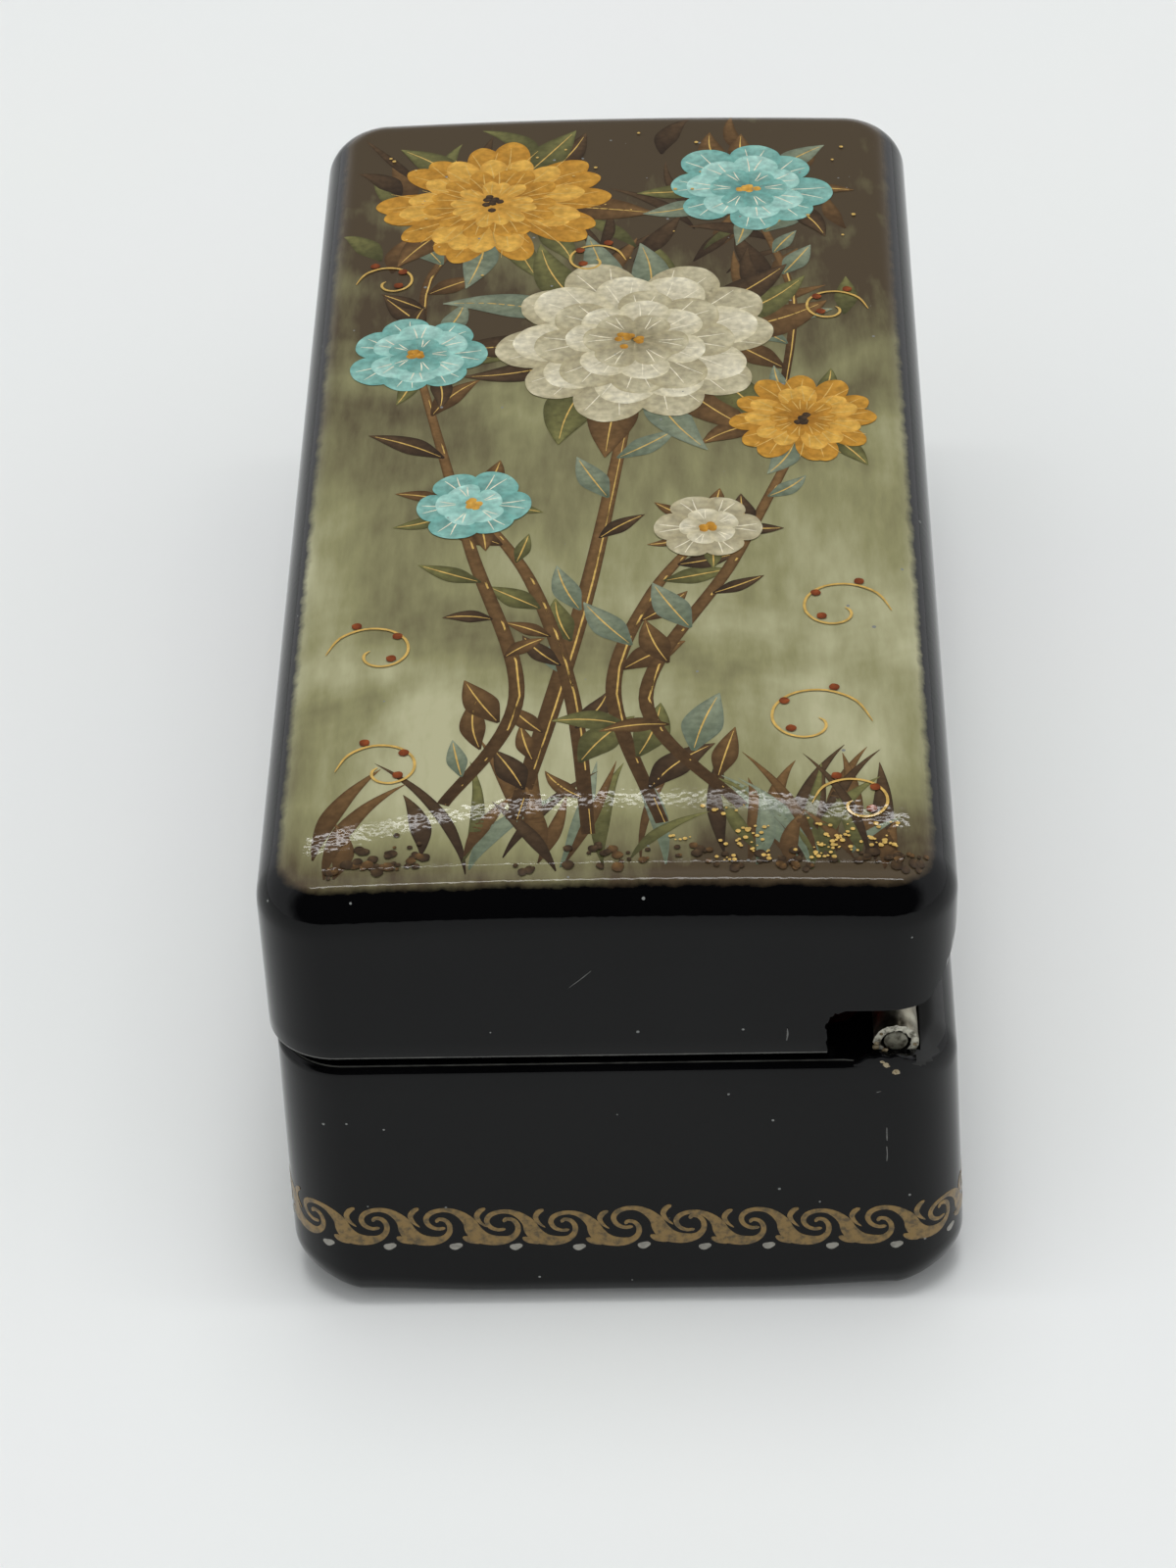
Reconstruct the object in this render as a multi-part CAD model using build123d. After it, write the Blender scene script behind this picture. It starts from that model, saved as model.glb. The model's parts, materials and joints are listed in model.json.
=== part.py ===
"""Small hinged lacquer box of papier-mache, with a tin knuckle hinge along one long side.

Frame: millimetres, +Z up, long side along Y, hinge on the +X side, opening side at -X.
The origin is on the underside, below the middle of the lid, so the box stands on Z = 0.
"""
import math
import os

from build123d import *

# Overall plan, taken at the widest part of the lid
WIDTH = 42.0
LENGTH = 90.0
CORNER_RADIUS = 4.4
LID_OVERHANG = 0.1
FRONT_OVERHANG = 0.5

# Base: glued bottom board, wound wall and inner collar. The hinge side stands proud of the lid
# and flares out towards the foot
REAR_PROUD = 0.2
REAR_FLARE = 0.75
FLOOR_THICKNESS = 3.0
FOOT_RADIUS = 2.1
BASE_WALL_HEIGHT = 17.0
RIM_RADIUS = 0.75
SHOULDER_RADIUS = 2.5
INNER_CORNER_RADIUS = 2.2
COLLAR_THICKNESS = 1.0
COLLAR_PROUD = 2.2
COLLAR_EDGE_RADIUS = 0.35
GLUE_GAP = 0.05

# Lid: wound wall and pressed, crowned top board with rolled edges
SEAM_GAP = 0.7
LID_WALL_HEIGHT = 9.25
LID_DRAFT = 0.1
LID_EDGE_RADIUS = 0.3
LID_CLEARANCE = 0.35
LID_BOARD_RISE = 4.05
CROWN_RISE = 0.5
ROLL_RADIUS = 2.9

# Hinge: tin strips folded round a wire pin, with their tails glued into saw kerfs
HINGE_INSET = 3.9
HINGE_RISE = 0.5
PIN_DIAMETER = 1.7
PIN_CLEARANCE = 0.05
PIN_CHAMFER = 0.35
TIN_THICKNESS = 0.45
LEAF_GAP = 0.06
TAIL_EMBED = 3.0
KERF_CLEARANCE = 0.06
KNUCKLE_COUNT = 5
KNUCKLE_GAP = 0.2
TUBE_END_INSET = 1.3
SADDLE_CLEARANCE = 0.25
SADDLE_LIP = 0.25

# Relief cut along the hinge side of the lid
RELIEF_REACH = 4.25
RELIEF_CORNER_RADIUS = 1.2
REAR_TUCK = 1.9
TUCK_TOP_DROP = 0.8
REAR_CORNER_RADIUS = 0.5
SWING_CLEARANCE = 0.12

# Cutters run past the faces that they cut by this much
OVERCUT = 1.0

# Worked-out sizes
LID_HALF_X = WIDTH / 2
LID_HALF_Y = LENGTH / 2
BASE_FRONT_X = LID_HALF_X - FRONT_OVERHANG
BASE_REAR_X = LID_HALF_X + REAR_PROUD
BASE_HALF_Y = LID_HALF_Y - LID_OVERHANG
BASE_CORNER_RADIUS = CORNER_RADIUS - LID_OVERHANG
RIM_Z = FLOOR_THICKNESS + BASE_WALL_HEIGHT
SHOULDER_Z = RIM_Z - SHOULDER_RADIUS
LID_BOTTOM_Z = RIM_Z + SEAM_GAP
LID_BOARD_Z = LID_BOTTOM_Z + LID_WALL_HEIGHT
LID_TOP_Z = LID_BOARD_Z + LID_BOARD_RISE

HINGE_X = BASE_REAR_X - HINGE_INSET
HINGE_Z = RIM_Z + HINGE_RISE
BORE_RADIUS = PIN_DIAMETER / 2 + PIN_CLEARANCE
KNUCKLE_RADIUS = BORE_RADIUS + TIN_THICKNESS
SADDLE_RADIUS = KNUCKLE_RADIUS + SADDLE_CLEARANCE
TAIL_WIDTH = 2 * TIN_THICKNESS + LEAF_GAP
KERF_WIDTH = TAIL_WIDTH + 2 * KERF_CLEARANCE
TUBE_HALF_LENGTH = BASE_HALF_Y - TUBE_END_INSET
KNUCKLE_LENGTH = (2 * TUBE_HALF_LENGTH - (KNUCKLE_COUNT - 1) * KNUCKLE_GAP) / KNUCKLE_COUNT

# The wall is thick enough to bury the hinge saddle outside the collar
WALL = HINGE_INSET + SADDLE_RADIUS + SADDLE_LIP
CAVITY_HALF_X = BASE_REAR_X - WALL
CAVITY_HALF_Y = BASE_HALF_Y - WALL

# The rear lower corner of the lid passes the base shoulder when the lid stands upright
REAR_CORNER_X = LID_HALF_X - REAR_TUCK
CORNER_REACH = REAR_CORNER_X - HINGE_X
SHOULDER_DROP = HINGE_RISE + SHOULDER_RADIUS - CORNER_REACH
CORNER_CLIMB = (HINGE_INSET - SHOULDER_RADIUS
                + math.sqrt((SHOULDER_RADIUS + SWING_CLEARANCE) ** 2 - SHOULDER_DROP ** 2))
RELIEF_CEILING_Z = HINGE_Z + CORNER_CLIMB


def plan(half_x, half_y, radius):
    """Rounded oblong seen from above, centred on the origin."""
    return RectangleRounded(2 * half_x, 2 * half_y, radius)


def prism(half_x, half_y, radius, low, high):
    """Upright block of the rounded oblong between two heights."""
    return Pos(0, 0, low) * extrude(plan(half_x, half_y, radius), high - low)


def along_box(section):
    """Run a section of the XZ plane through the whole length of the box."""
    return extrude(Plane.XZ * section, LID_HALF_Y + OVERCUT, both=True)


def knuckle_spans():
    """Start and end of each knuckle along Y, from the near end to the far end."""
    step = KNUCKLE_LENGTH + KNUCKLE_GAP
    starts = [-TUBE_HALF_LENGTH + index * step for index in range(KNUCKLE_COUNT)]
    return [(start, start + KNUCKLE_LENGTH) for start in starts]


def base_spans():
    """Knuckles held by the base: the first, third and so on."""
    return knuckle_spans()[0::2]


def lid_spans():
    """Knuckles held by the lid: those between the knuckles of the base."""
    return knuckle_spans()[1::2]


def kerf(span, low, high):
    """Saw cut that takes the tail of one knuckle."""
    near, far = span
    length = far - near + 2 * KERF_CLEARANCE
    cut = Box(KERF_WIDTH, length, high - low)
    return Pos(HINGE_X, (near + far) / 2, (low + high) / 2) * cut


def base_plan(rear_x):
    """Outline of the base that reaches to the given X on the hinge side."""
    oblong = RectangleRounded(BASE_FRONT_X + rear_x, 2 * BASE_HALF_Y, BASE_CORNER_RADIUS)
    return Pos((rear_x - BASE_FRONT_X) / 2, 0) * oblong


def base_block(low, high):
    """Slice of the base's outer form between two heights, flared below the shoulder."""
    rim = Pos(0, 0, SHOULDER_Z) * base_plan(BASE_REAR_X)
    block = loft([base_plan(BASE_REAR_X + REAR_FLARE), rim], ruled=True)
    block += extrude(rim, SHOULDER_RADIUS)
    slab = Box(2 * WIDTH, 2 * LENGTH, high - low)
    return block & Pos(0, 0, (low + high) / 2) * slab


def make_base_floor():
    """Bottom board, rounded along its lower edge."""
    board = base_block(0, FLOOR_THICKNESS)
    lower_edges = board.faces().sort_by(Axis.Z)[0].edges()
    return fillet(lower_edges, FOOT_RADIUS)


def make_base_wall():
    """Wound wall with a rounded rim, a planed rear shoulder, the hinge saddle and its kerfs."""
    wall = base_block(FLOOR_THICKNESS, RIM_Z)
    rim_edges = wall.faces().sort_by(Axis.Z)[-1].edges()
    wall = fillet(rim_edges, RIM_RADIUS)
    wall -= prism(CAVITY_HALF_X, CAVITY_HALF_Y, INNER_CORNER_RADIUS, 0, RIM_Z + OVERCUT)

    shoulder_x = BASE_REAR_X - SHOULDER_RADIUS
    side = SHOULDER_RADIUS + OVERCUT
    waste = Pos(shoulder_x + side / 2, SHOULDER_Z + side / 2) * Rectangle(side, side)
    waste -= Pos(shoulder_x, SHOULDER_Z) * Circle(SHOULDER_RADIUS)
    wall -= along_box(waste)

    wall -= along_box(Pos(HINGE_X, HINGE_Z) * Circle(SADDLE_RADIUS))
    for span in base_spans():
        wall -= kerf(span, RIM_Z - TAIL_EMBED - KERF_CLEARANCE, RIM_Z + OVERCUT)
    return wall


def make_base_collar():
    """Thin inner collar that stands above the rim and guides the lid."""
    outer = (CAVITY_HALF_X - GLUE_GAP, CAVITY_HALF_Y - GLUE_GAP, INNER_CORNER_RADIUS - GLUE_GAP)
    top = RIM_Z + COLLAR_PROUD
    collar = prism(*outer, FLOOR_THICKNESS, top)
    collar = fillet(collar.faces().sort_by(Axis.Z)[-1].edges(), COLLAR_EDGE_RADIUS)
    inner = [size - COLLAR_THICKNESS for size in outer]
    return collar - prism(*inner, FLOOR_THICKNESS - OVERCUT, top + OVERCUT)


def relief_section():
    """Section of the lid's rear relief: the hinge rebate and the tucked-in lower rear corner."""
    left = HINGE_X - RELIEF_REACH
    low = LID_BOTTOM_Z - OVERCUT
    right = LID_HALF_X + OVERCUT
    rebate = (left, RELIEF_CEILING_Z)
    corner = (REAR_CORNER_X, RELIEF_CEILING_Z)
    shoulder = (LID_HALF_X, LID_BOARD_Z - TUCK_TOP_DROP)
    with BuildSketch() as section:
        with BuildLine():
            Polyline(corner, rebate, (left, low), (right, low), (right, shoulder[1]), shoulder)
            TangentArc(shoulder, corner, tangent=(0, -1))
        make_face()
        rebate_corner = section.vertices().sort_by_distance(rebate)[0]
        fillet(rebate_corner, RELIEF_CORNER_RADIUS)
        rear_corner = section.vertices().sort_by_distance(corner)[0]
        fillet(rear_corner, REAR_CORNER_RADIUS)
    return section.sketch


def make_lid_wall():
    """Wound lid wall, drawn in slightly towards its lower edge, relieved along the hinge."""
    head_size = (LID_HALF_X, LID_HALF_Y, CORNER_RADIUS)
    foot_size = [size - LID_DRAFT for size in head_size]
    foot = Pos(0, 0, LID_BOTTOM_Z) * plan(*foot_size)
    head = Pos(0, 0, LID_BOARD_Z) * plan(*head_size)
    wall = loft([foot, head], ruled=True)
    wall = fillet(wall.faces().sort_by(Axis.Z)[0].edges(), LID_EDGE_RADIUS)

    room = LID_CLEARANCE - GLUE_GAP
    wall -= prism(CAVITY_HALF_X + room, CAVITY_HALF_Y + room, INNER_CORNER_RADIUS + room,
                  LID_BOTTOM_Z - OVERCUT, LID_BOARD_Z + OVERCUT)
    wall -= along_box(relief_section())
    for span in lid_spans():
        wall -= kerf(span, RELIEF_CEILING_Z - OVERCUT, RELIEF_CEILING_Z + TAIL_EMBED + KERF_CLEARANCE)
    return wall


def make_lid_top():
    """Pressed top board, crowned across its width, with rolled edges."""
    crown_radius = (LID_HALF_X ** 2 + CROWN_RISE ** 2) / (2 * CROWN_RISE)
    crown = Cylinder(crown_radius, LENGTH + 2 * OVERCUT, rotation=(90, 0, 0))
    board = prism(LID_HALF_X, LID_HALF_Y, CORNER_RADIUS, LID_BOARD_Z, LID_TOP_Z + OVERCUT)
    board &= Pos(0, 0, LID_TOP_Z - crown_radius) * crown
    top_face = board.faces().sort_by(Axis.Z)[-1]
    return fillet(top_face.edges(), ROLL_RADIUS)


def make_knuckle(span, tail_end_z):
    """Tin strip folded round the pin, with both ends laid together as a tail."""
    near, far = span
    reach = abs(tail_end_z - HINGE_Z)
    side = math.copysign(1, tail_end_z - HINGE_Z)
    section = Circle(KNUCKLE_RADIUS)
    section += Pos(0, side * reach / 2) * Rectangle(TAIL_WIDTH, reach)
    section -= Circle(BORE_RADIUS)
    section -= Pos(0, side * reach / 2) * Rectangle(LEAF_GAP, reach)
    strip = extrude(Plane.XZ * section, far - near)
    return Pos(HINGE_X, far, HINGE_Z) * strip


def make_hinge_pin():
    """Wire pin through all the knuckles, with chamfered ends."""
    wire = Cylinder(PIN_DIAMETER / 2, 2 * TUBE_HALF_LENGTH, rotation=(90, 0, 0))
    wire = chamfer(wire.edges().filter_by(GeomType.CIRCLE), PIN_CHAMFER)
    return Pos(HINGE_X, 0, HINGE_Z) * wire


def build_nodes():
    """Every piece of the box by name."""
    nodes = {
        "base_floor": make_base_floor(),
        "base_wall": make_base_wall(),
        "base_collar": make_base_collar(),
        "lid_wall": make_lid_wall(),
        "lid_top": make_lid_top(),
        "hinge_pin": make_hinge_pin(),
    }
    for number, span in enumerate(base_spans(), start=1):
        nodes[f"base_knuckle_{number}"] = make_knuckle(span, RIM_Z - TAIL_EMBED)
    for number, span in enumerate(lid_spans(), start=1):
        nodes[f"lid_knuckle_{number}"] = make_knuckle(span, RELIEF_CEILING_Z + TAIL_EMBED)
    return nodes


os.makedirs("parts", exist_ok=True)
for name, shape in build_nodes().items():
    export_step(shape, f"parts/{name}.step")
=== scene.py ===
"""Studio scene of a small hinged lacquer box: black varnish, gold scroll border and tin hinge.

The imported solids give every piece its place. Lengths inside the classes are millimetres, and
MM turns them to the metres of the scene.
"""
import json
import logging
import math
import random
from dataclasses import dataclass
from enum import Enum
from functools import cached_property
from typing import Callable, Iterable, Iterator, List, Optional, Sequence, Tuple, Union

import bmesh
import bpy
from mathutils import Matrix, Vector


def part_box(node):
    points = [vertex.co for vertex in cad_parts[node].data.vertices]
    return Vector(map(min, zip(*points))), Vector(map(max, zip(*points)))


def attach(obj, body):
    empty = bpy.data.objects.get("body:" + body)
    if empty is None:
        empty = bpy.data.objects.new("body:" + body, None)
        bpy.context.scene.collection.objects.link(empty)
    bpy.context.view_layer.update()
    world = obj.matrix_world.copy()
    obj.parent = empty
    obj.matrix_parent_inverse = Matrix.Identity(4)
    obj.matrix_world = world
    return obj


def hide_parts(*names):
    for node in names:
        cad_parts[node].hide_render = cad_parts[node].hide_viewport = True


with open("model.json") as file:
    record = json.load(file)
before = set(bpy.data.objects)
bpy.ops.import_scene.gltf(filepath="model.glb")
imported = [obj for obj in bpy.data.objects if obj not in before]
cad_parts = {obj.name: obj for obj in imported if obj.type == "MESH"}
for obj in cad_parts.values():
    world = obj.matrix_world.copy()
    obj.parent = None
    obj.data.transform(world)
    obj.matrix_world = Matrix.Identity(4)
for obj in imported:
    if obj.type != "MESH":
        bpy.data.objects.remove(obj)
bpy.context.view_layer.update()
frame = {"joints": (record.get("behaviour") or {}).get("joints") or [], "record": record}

LOG = logging.getLogger("lacquer_box")
MM = 0.001
LID_STEPS = 120
SHARP_ANGLE = math.radians(38)
BLUNT_ANGLE = math.radians(60)

Point2 = Tuple[float, float]
Point3 = Tuple[float, float, float]
Stroke = Tuple[Point3, ...]
Key = Union[int, str]
Material = bpy.types.Material
Mesh = bmesh.types.BMesh
Node = bpy.types.Node
Object = bpy.types.Object
Socket = bpy.types.NodeSocket


class Body(Enum):
    """The two rigid bodies of the box."""

    BASE = "base"
    LID = "lid"


class Slot(Enum):
    """Material slots of the record."""

    BLACK = "lacquered_papier_mache"
    RED = "red_lacquer"
    PAINTED = "painted_lacquer"
    TIN = "tinplate"
    WIRE = "steel_wire"


def linear(hex_colour: str) -> Tuple[float, float, float, float]:
    """Turn an sRGB hex colour to linear RGBA.

    Args:
        hex_colour: colour such as "#9c7a45".

    Returns:
        Linear red, green, blue and an alpha of 1.
    """
    channels = [int(hex_colour[i:i + 2], 16) / 255 for i in (1, 3, 5)]
    curve = [c / 12.92 if c <= 0.04045 else ((c + 0.055) / 1.055) ** 2.4 for c in channels]
    return (curve[0], curve[1], curve[2], 1.0)


def per_mm(size_mm: float) -> float:
    """Texture scale, in periods per metre, of a pattern with the given size in millimetres."""
    return 1 / (size_mm * MM)


class Nodes:
    """Builder of one node tree. An input takes a value, an sRGB hex colour or the socket that feeds it."""

    def __init__(self, tree: bpy.types.NodeTree) -> None:
        """Build in the given tree."""
        self.tree = tree

    def feed(self, node: Node, inputs: dict) -> None:
        """Set or link inputs of a node.

        Args:
            node: node of this tree.
            inputs: names or numbers of its inputs, each with what it takes.
        """
        for key, value in inputs.items():
            if isinstance(value, Socket):
                self.tree.links.new(value, node.inputs[key])
            else:
                node.inputs[key].default_value = linear(value) if isinstance(value, str) else value

    def node(self, kind: str, inputs: Optional[dict] = None, **settings: object) -> Node:
        """Add a node.

        Args:
            kind: Blender's type name of the node.
            inputs: names or numbers of its inputs, each with what it takes.
            **settings: plain properties of the node.

        Returns:
            The new node.
        """
        node = self.tree.nodes.new(kind)
        for key, value in settings.items():
            setattr(node, key, value)
        self.feed(node, inputs or {})
        return node

    def add(self, kind: str, inputs: Optional[dict] = None, out: Key = 0, **settings: object) -> Socket:
        """Add a node and return one of its outputs, by name or number."""
        return self.node(kind, inputs, **settings).outputs[out]

    def calc(self, operation: str, *terms: Union[float, Socket]) -> Socket:
        """Result of a named operation on numbers."""
        return self.add("ShaderNodeMath", dict(enumerate(terms)), operation=operation)

    def vector(self, operation: str, inputs: dict, out: Key = 0) -> Socket:
        """Result of a named operation on vectors."""
        return self.add("ShaderNodeVectorMath", inputs, out, operation=operation)

    def axes(self, vector: Socket) -> Sequence[Socket]:
        """Parts of a vector, by the names X, Y and Z."""
        return self.node("ShaderNodeSeparateXYZ", {0: vector}).outputs

    def remap(self, value: Socket, start: Point2, end: Point2, smooth: bool = False) -> Socket:
        """Move a value from one range to another.

        Args:
            value: the value.
            start: its range.
            end: range of the result, which is clamped.
            smooth: ease in and out instead of going straight.

        Returns:
            The moved value.
        """
        return self.add("ShaderNodeMapRange", {"Value": value, "From Min": start[0], "From Max": start[1],
                                               "To Min": end[0], "To Max": end[1]},
                        interpolation_type="SMOOTHSTEP" if smooth else "LINEAR")

    def mix(self, share: Union[float, Socket], first: object, second: object, blend: str = "MIX") -> Socket:
        """Blend of two colours."""
        inputs = {0: share, 6: first, 7: second}
        return self.add("ShaderNodeMix", inputs, 2, data_type="RGBA", blend_type=blend)


class Surface(Nodes):
    """Builder of one material, with its object coordinates at hand."""

    def __init__(self, name: str) -> None:
        """Start a material.

        Args:
            name: its name.
        """
        self.material = bpy.data.materials.new(name)
        self.material.use_nodes = True
        super().__init__(self.material.node_tree)
        self.place = self.add("ShaderNodeTexCoord", out="Object")

    def noise(self, size_mm: float, detail: float, place: Optional[Socket] = None, out: Key = 0,
              **more: float) -> Socket:
        """Add a noise.

        Args:
            size_mm: size of its lumps.
            detail: number of finer layers.
            place: coordinates, if not those of the object.
            out: output wanted.
            **more: further inputs of the node.

        Returns:
            The noise.
        """
        where = self.place if place is None else place
        inputs = {"Scale": per_mm(size_mm), "Detail": detail, "Vector": where, **more}
        return self.add("ShaderNodeTexNoise", inputs, out)

    def ramp(self, share: Socket, *stops: Tuple[float, str]) -> Socket:
        """Add a colour ramp.

        Args:
            share: place on the ramp.
            *stops: positions in rising order, each with an sRGB hex colour.

        Returns:
            The colour.
        """
        node = self.node("ShaderNodeValToRGB", {"Fac": share})
        elements = node.color_ramp.elements
        for element, (position, colour) in zip(list(elements), (stops[0], stops[-1])):
            element.position, element.color = position, linear(colour)
        for position, colour in stops[1:-1]:
            elements.new(position).color = linear(colour)
        return node.outputs[0]

    def bump(self, height: Socket, depth_mm: float) -> Socket:
        """Normal of a surface that is uneven by the given depth."""
        return self.add("ShaderNodeBump", {"Distance": depth_mm * MM, "Strength": 1.0, "Height": height})

    def finish(self, **inputs: object) -> Material:
        """Feed the shader.

        Args:
            **inputs: its inputs, with underscores for the spaces in their names.

        Returns:
            The finished material.
        """
        shader = self.tree.nodes["Principled BSDF"]
        self.feed(shader, {key.replace("_", " "): value for key, value in inputs.items()})
        return self.material


@dataclass(frozen=True)
class Varnish:
    """Clear oil varnish, polished: a mirror gloss with slow ripples, faint smears and dust."""

    roughness: float = 0.045
    smeared: float = 0.12
    ior: float = 1.28
    ripple_mm: float = 13.0
    ripple_depth_mm: float = 0.01
    peel_mm: float = 0.8
    peel_share: float = 0.18
    grain_mm: float = 0.36
    grain_share: float = 0.0
    smear_mm: float = 12.0
    smear_range: Point2 = (0.52, 0.75)
    dust_cell_mm: float = 2.1
    dust_size: float = 0.07
    dust_colour: str = "#7b7d7a"

    def relief(self, surface: Surface) -> Socket:
        """Normal of the uneven varnish: slow ripples, orange peel and the grain of the paint below.

        Args:
            surface: surface in the making.

        Returns:
            The normal.
        """
        height = surface.noise(self.ripple_mm, 1.0)
        for size, share, detail in ((self.peel_mm, self.peel_share, 2.0),
                                    (self.grain_mm, self.grain_share, 0.0)):
            height = surface.calc("MULTIPLY_ADD", surface.noise(size, detail), share, height)
        return surface.bump(height, self.ripple_depth_mm)

    def coat(self, surface: Surface, colour: Socket) -> Material:
        """Lay the varnish over a painted colour.

        Args:
            surface: surface in the making.
            colour: its colour under the varnish.

        Returns:
            The finished material.
        """
        smear = surface.noise(self.smear_mm, 5.0, Roughness=0.65)
        gloss = surface.remap(smear, self.smear_range, (self.roughness, self.smeared))
        pattern = {"Scale": per_mm(self.dust_cell_mm), "Vector": surface.place}
        cells = surface.node("ShaderNodeTexVoronoi", pattern).outputs
        size = surface.calc("MULTIPLY", cells["Color"], self.dust_size)
        speck = surface.calc("LESS_THAN", cells["Distance"], size)
        return surface.finish(Base_Color=surface.mix(speck, colour, self.dust_colour),
                              Roughness=surface.calc("MAXIMUM", gloss, speck),
                              Normal=self.relief(surface), IOR=self.ior)


GRAINED = Varnish(grain_share=0.5)


@dataclass(frozen=True)
class PlainLacquer:
    """Pigmented lacquer over papier-mache: one deep colour with faint cloudiness under the varnish."""

    name: str
    deep: str
    pale: str
    cloud_mm: float = 6.0
    cloud_range: Point2 = (0.35, 0.75)
    varnish: Varnish = Varnish()

    def build(self) -> Material:
        """Build the finish.

        Returns:
            Its material.
        """
        surface = Surface(self.name)
        stops = zip(self.cloud_range, (self.deep, self.pale))
        return self.varnish.coat(surface, surface.ramp(surface.noise(self.cloud_mm, 6.0), *stops))


@dataclass(frozen=True)
class Tinplate:
    """Rolled tinplate, dulled: a soft grey-white metal with darker tarnish and a rough, dented skin."""

    name: str = "tinplate_rolled"
    bright: str = "#a9a493"
    tarnish: str = "#5e5849"
    roughness: Point2 = (0.26, 0.58)
    patch_mm: float = 1.4
    patch_range: Point2 = (0.36, 0.66)
    grain_mm: float = 0.25
    dent_mm: float = 0.03

    def build(self) -> Material:
        """Build the finish.

        Returns:
            Its material.
        """
        surface = Surface(self.name)
        patch, grain = surface.noise(self.patch_mm, 6.0), surface.noise(self.grain_mm, 3.0)
        stops = zip(self.patch_range, (self.tarnish, self.bright))
        return surface.finish(Base_Color=surface.ramp(patch, *stops),
                              Roughness=surface.remap(grain, (0.0, 1.0), self.roughness),
                              Normal=surface.bump(grain, self.dent_mm), Metallic=1.0)


@dataclass(frozen=True)
class Paint:
    """Opaque paint laid on with a fine brush and varnished: streaky, slightly worn colour."""

    name: str
    colour: str
    thin: str
    metallic: float = 0.0
    roughness: float = 0.4
    streak_mm: float = 0.45
    streak_range: Point2 = (0.36, 0.55)
    coat: float = 0.3
    coat_roughness: float = 0.04
    varnish: Varnish = GRAINED

    def build(self) -> Material:
        """Build the finish.

        Returns:
            Its material.
        """
        surface = Surface(self.name)
        streak = surface.noise(self.streak_mm, 4.0, Roughness=0.6)
        stops = zip(self.streak_range, (self.thin, self.colour))
        return surface.finish(Base_Color=surface.ramp(streak, *stops),
                              Metallic=self.metallic, Roughness=self.roughness, Coat_Weight=self.coat,
                              Coat_Roughness=self.coat_roughness, Coat_Normal=self.varnish.relief(surface))


@dataclass(frozen=True)
class PaintedGround:
    """Khaki oil ground on black lacquer, worn soft at its border, all under clear varnish."""

    name: str = "painted_lacquer_ground"
    black: str = "#050506"
    pale: str = "#b4b18d"
    olive: str = "#8d8a63"
    umber: str = "#4d4130"
    half_x: float = 19.6
    half_y: float = 43.7
    corner: float = 3.0
    border_mm: float = 1.5
    ragged_mm: float = 0.7
    worn_mm: Point2 = (-0.35, 0.1)
    brush_mm: float = 1.6
    brush_stretch: Point3 = (1.0, 0.22, 1.0)
    brush_share: float = 0.35
    cloud_mm: float = 17.0
    tone_stops: Point3 = (0.5, 0.72, 1.0)
    far_dusk: Point3 = (-12.0, 38.0, 0.42)
    near_dusk: Point3 = (-36.0, -43.0, 0.36)
    varnish: Varnish = GRAINED

    def build(self) -> Material:
        """Build the finish.

        Returns:
            Its material.
        """
        surface = Surface(self.name)
        cloud = surface.noise(self.cloud_mm, 4.0, Distortion=0.6)
        stretched = surface.add("ShaderNodeMapping", {"Scale": self.brush_stretch, "Vector": surface.place})
        brush = surface.noise(self.brush_mm, 5.0, stretched, Roughness=0.6)
        tone = surface.calc("MULTIPLY_ADD", brush, self.brush_share, cloud)
        axes = surface.axes(surface.place)
        for start, end, depth in (self.far_dusk, self.near_dusk):
            dusk = surface.remap(axes["Y"], (start * MM, end * MM), (0.0, depth))
            tone = surface.calc("ADD", tone, dusk)
        ground = surface.ramp(tone, *zip(self.tone_stops, (self.pale, self.olive, self.umber)))
        return self.varnish.coat(surface, surface.mix(self._cover(surface, axes), self.black, ground))

    def _cover(self, surface: Surface, axes: Sequence[Socket]) -> Socket:
        """Cover of the ground.

        Args:
            surface: surface in the making.
            axes: its object coordinates.

        Returns:
            Socket that is 1 inside the picture field and falls to 0 over a ragged border.
        """
        past = []
        for axis, half in (("X", self.half_x), ("Y", self.half_y)):
            over = surface.calc("SUBTRACT", surface.calc("ABSOLUTE", axes[axis]), (half - self.corner) * MM)
            past.append(surface.calc("MAXIMUM", over, 0.0))
        away = surface.add("ShaderNodeCombineXYZ", dict(enumerate(past)))
        edge = surface.calc("SUBTRACT", surface.vector("LENGTH", {0: away}, "Value"), self.corner * MM)
        ragged = surface.noise(self.border_mm, 6.0, Roughness=0.7)
        moved = surface.calc("MULTIPLY_ADD", ragged, self.ragged_mm * MM, edge)
        low, high = ((self.ragged_mm / 2 + worn) * MM for worn in self.worn_mm)
        return surface.remap(moved, (low, high), (1.0, 0.0))


@dataclass(frozen=True)
class TintedStrokes:
    """Tempera strokes under clear varnish: each stroke's own tint, slightly streaked by the brush."""

    name: str = "painted_lacquer_strokes"
    streak_mm: float = 0.5
    streak_range: Point2 = (0.3, 0.7)
    streak_level: Point2 = (0.78, 1.22)
    varnish: Varnish = GRAINED

    def build(self) -> Material:
        """Build the finish.

        Returns:
            Its material.
        """
        surface = Surface(self.name)
        tint = surface.add("ShaderNodeAttribute", out="Vector", attribute_name="Tint")
        level = surface.remap(surface.noise(self.streak_mm, 4.0), self.streak_range, self.streak_level)
        return self.varnish.coat(surface, surface.vector("SCALE", {0: tint, "Scale": level}))


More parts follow.
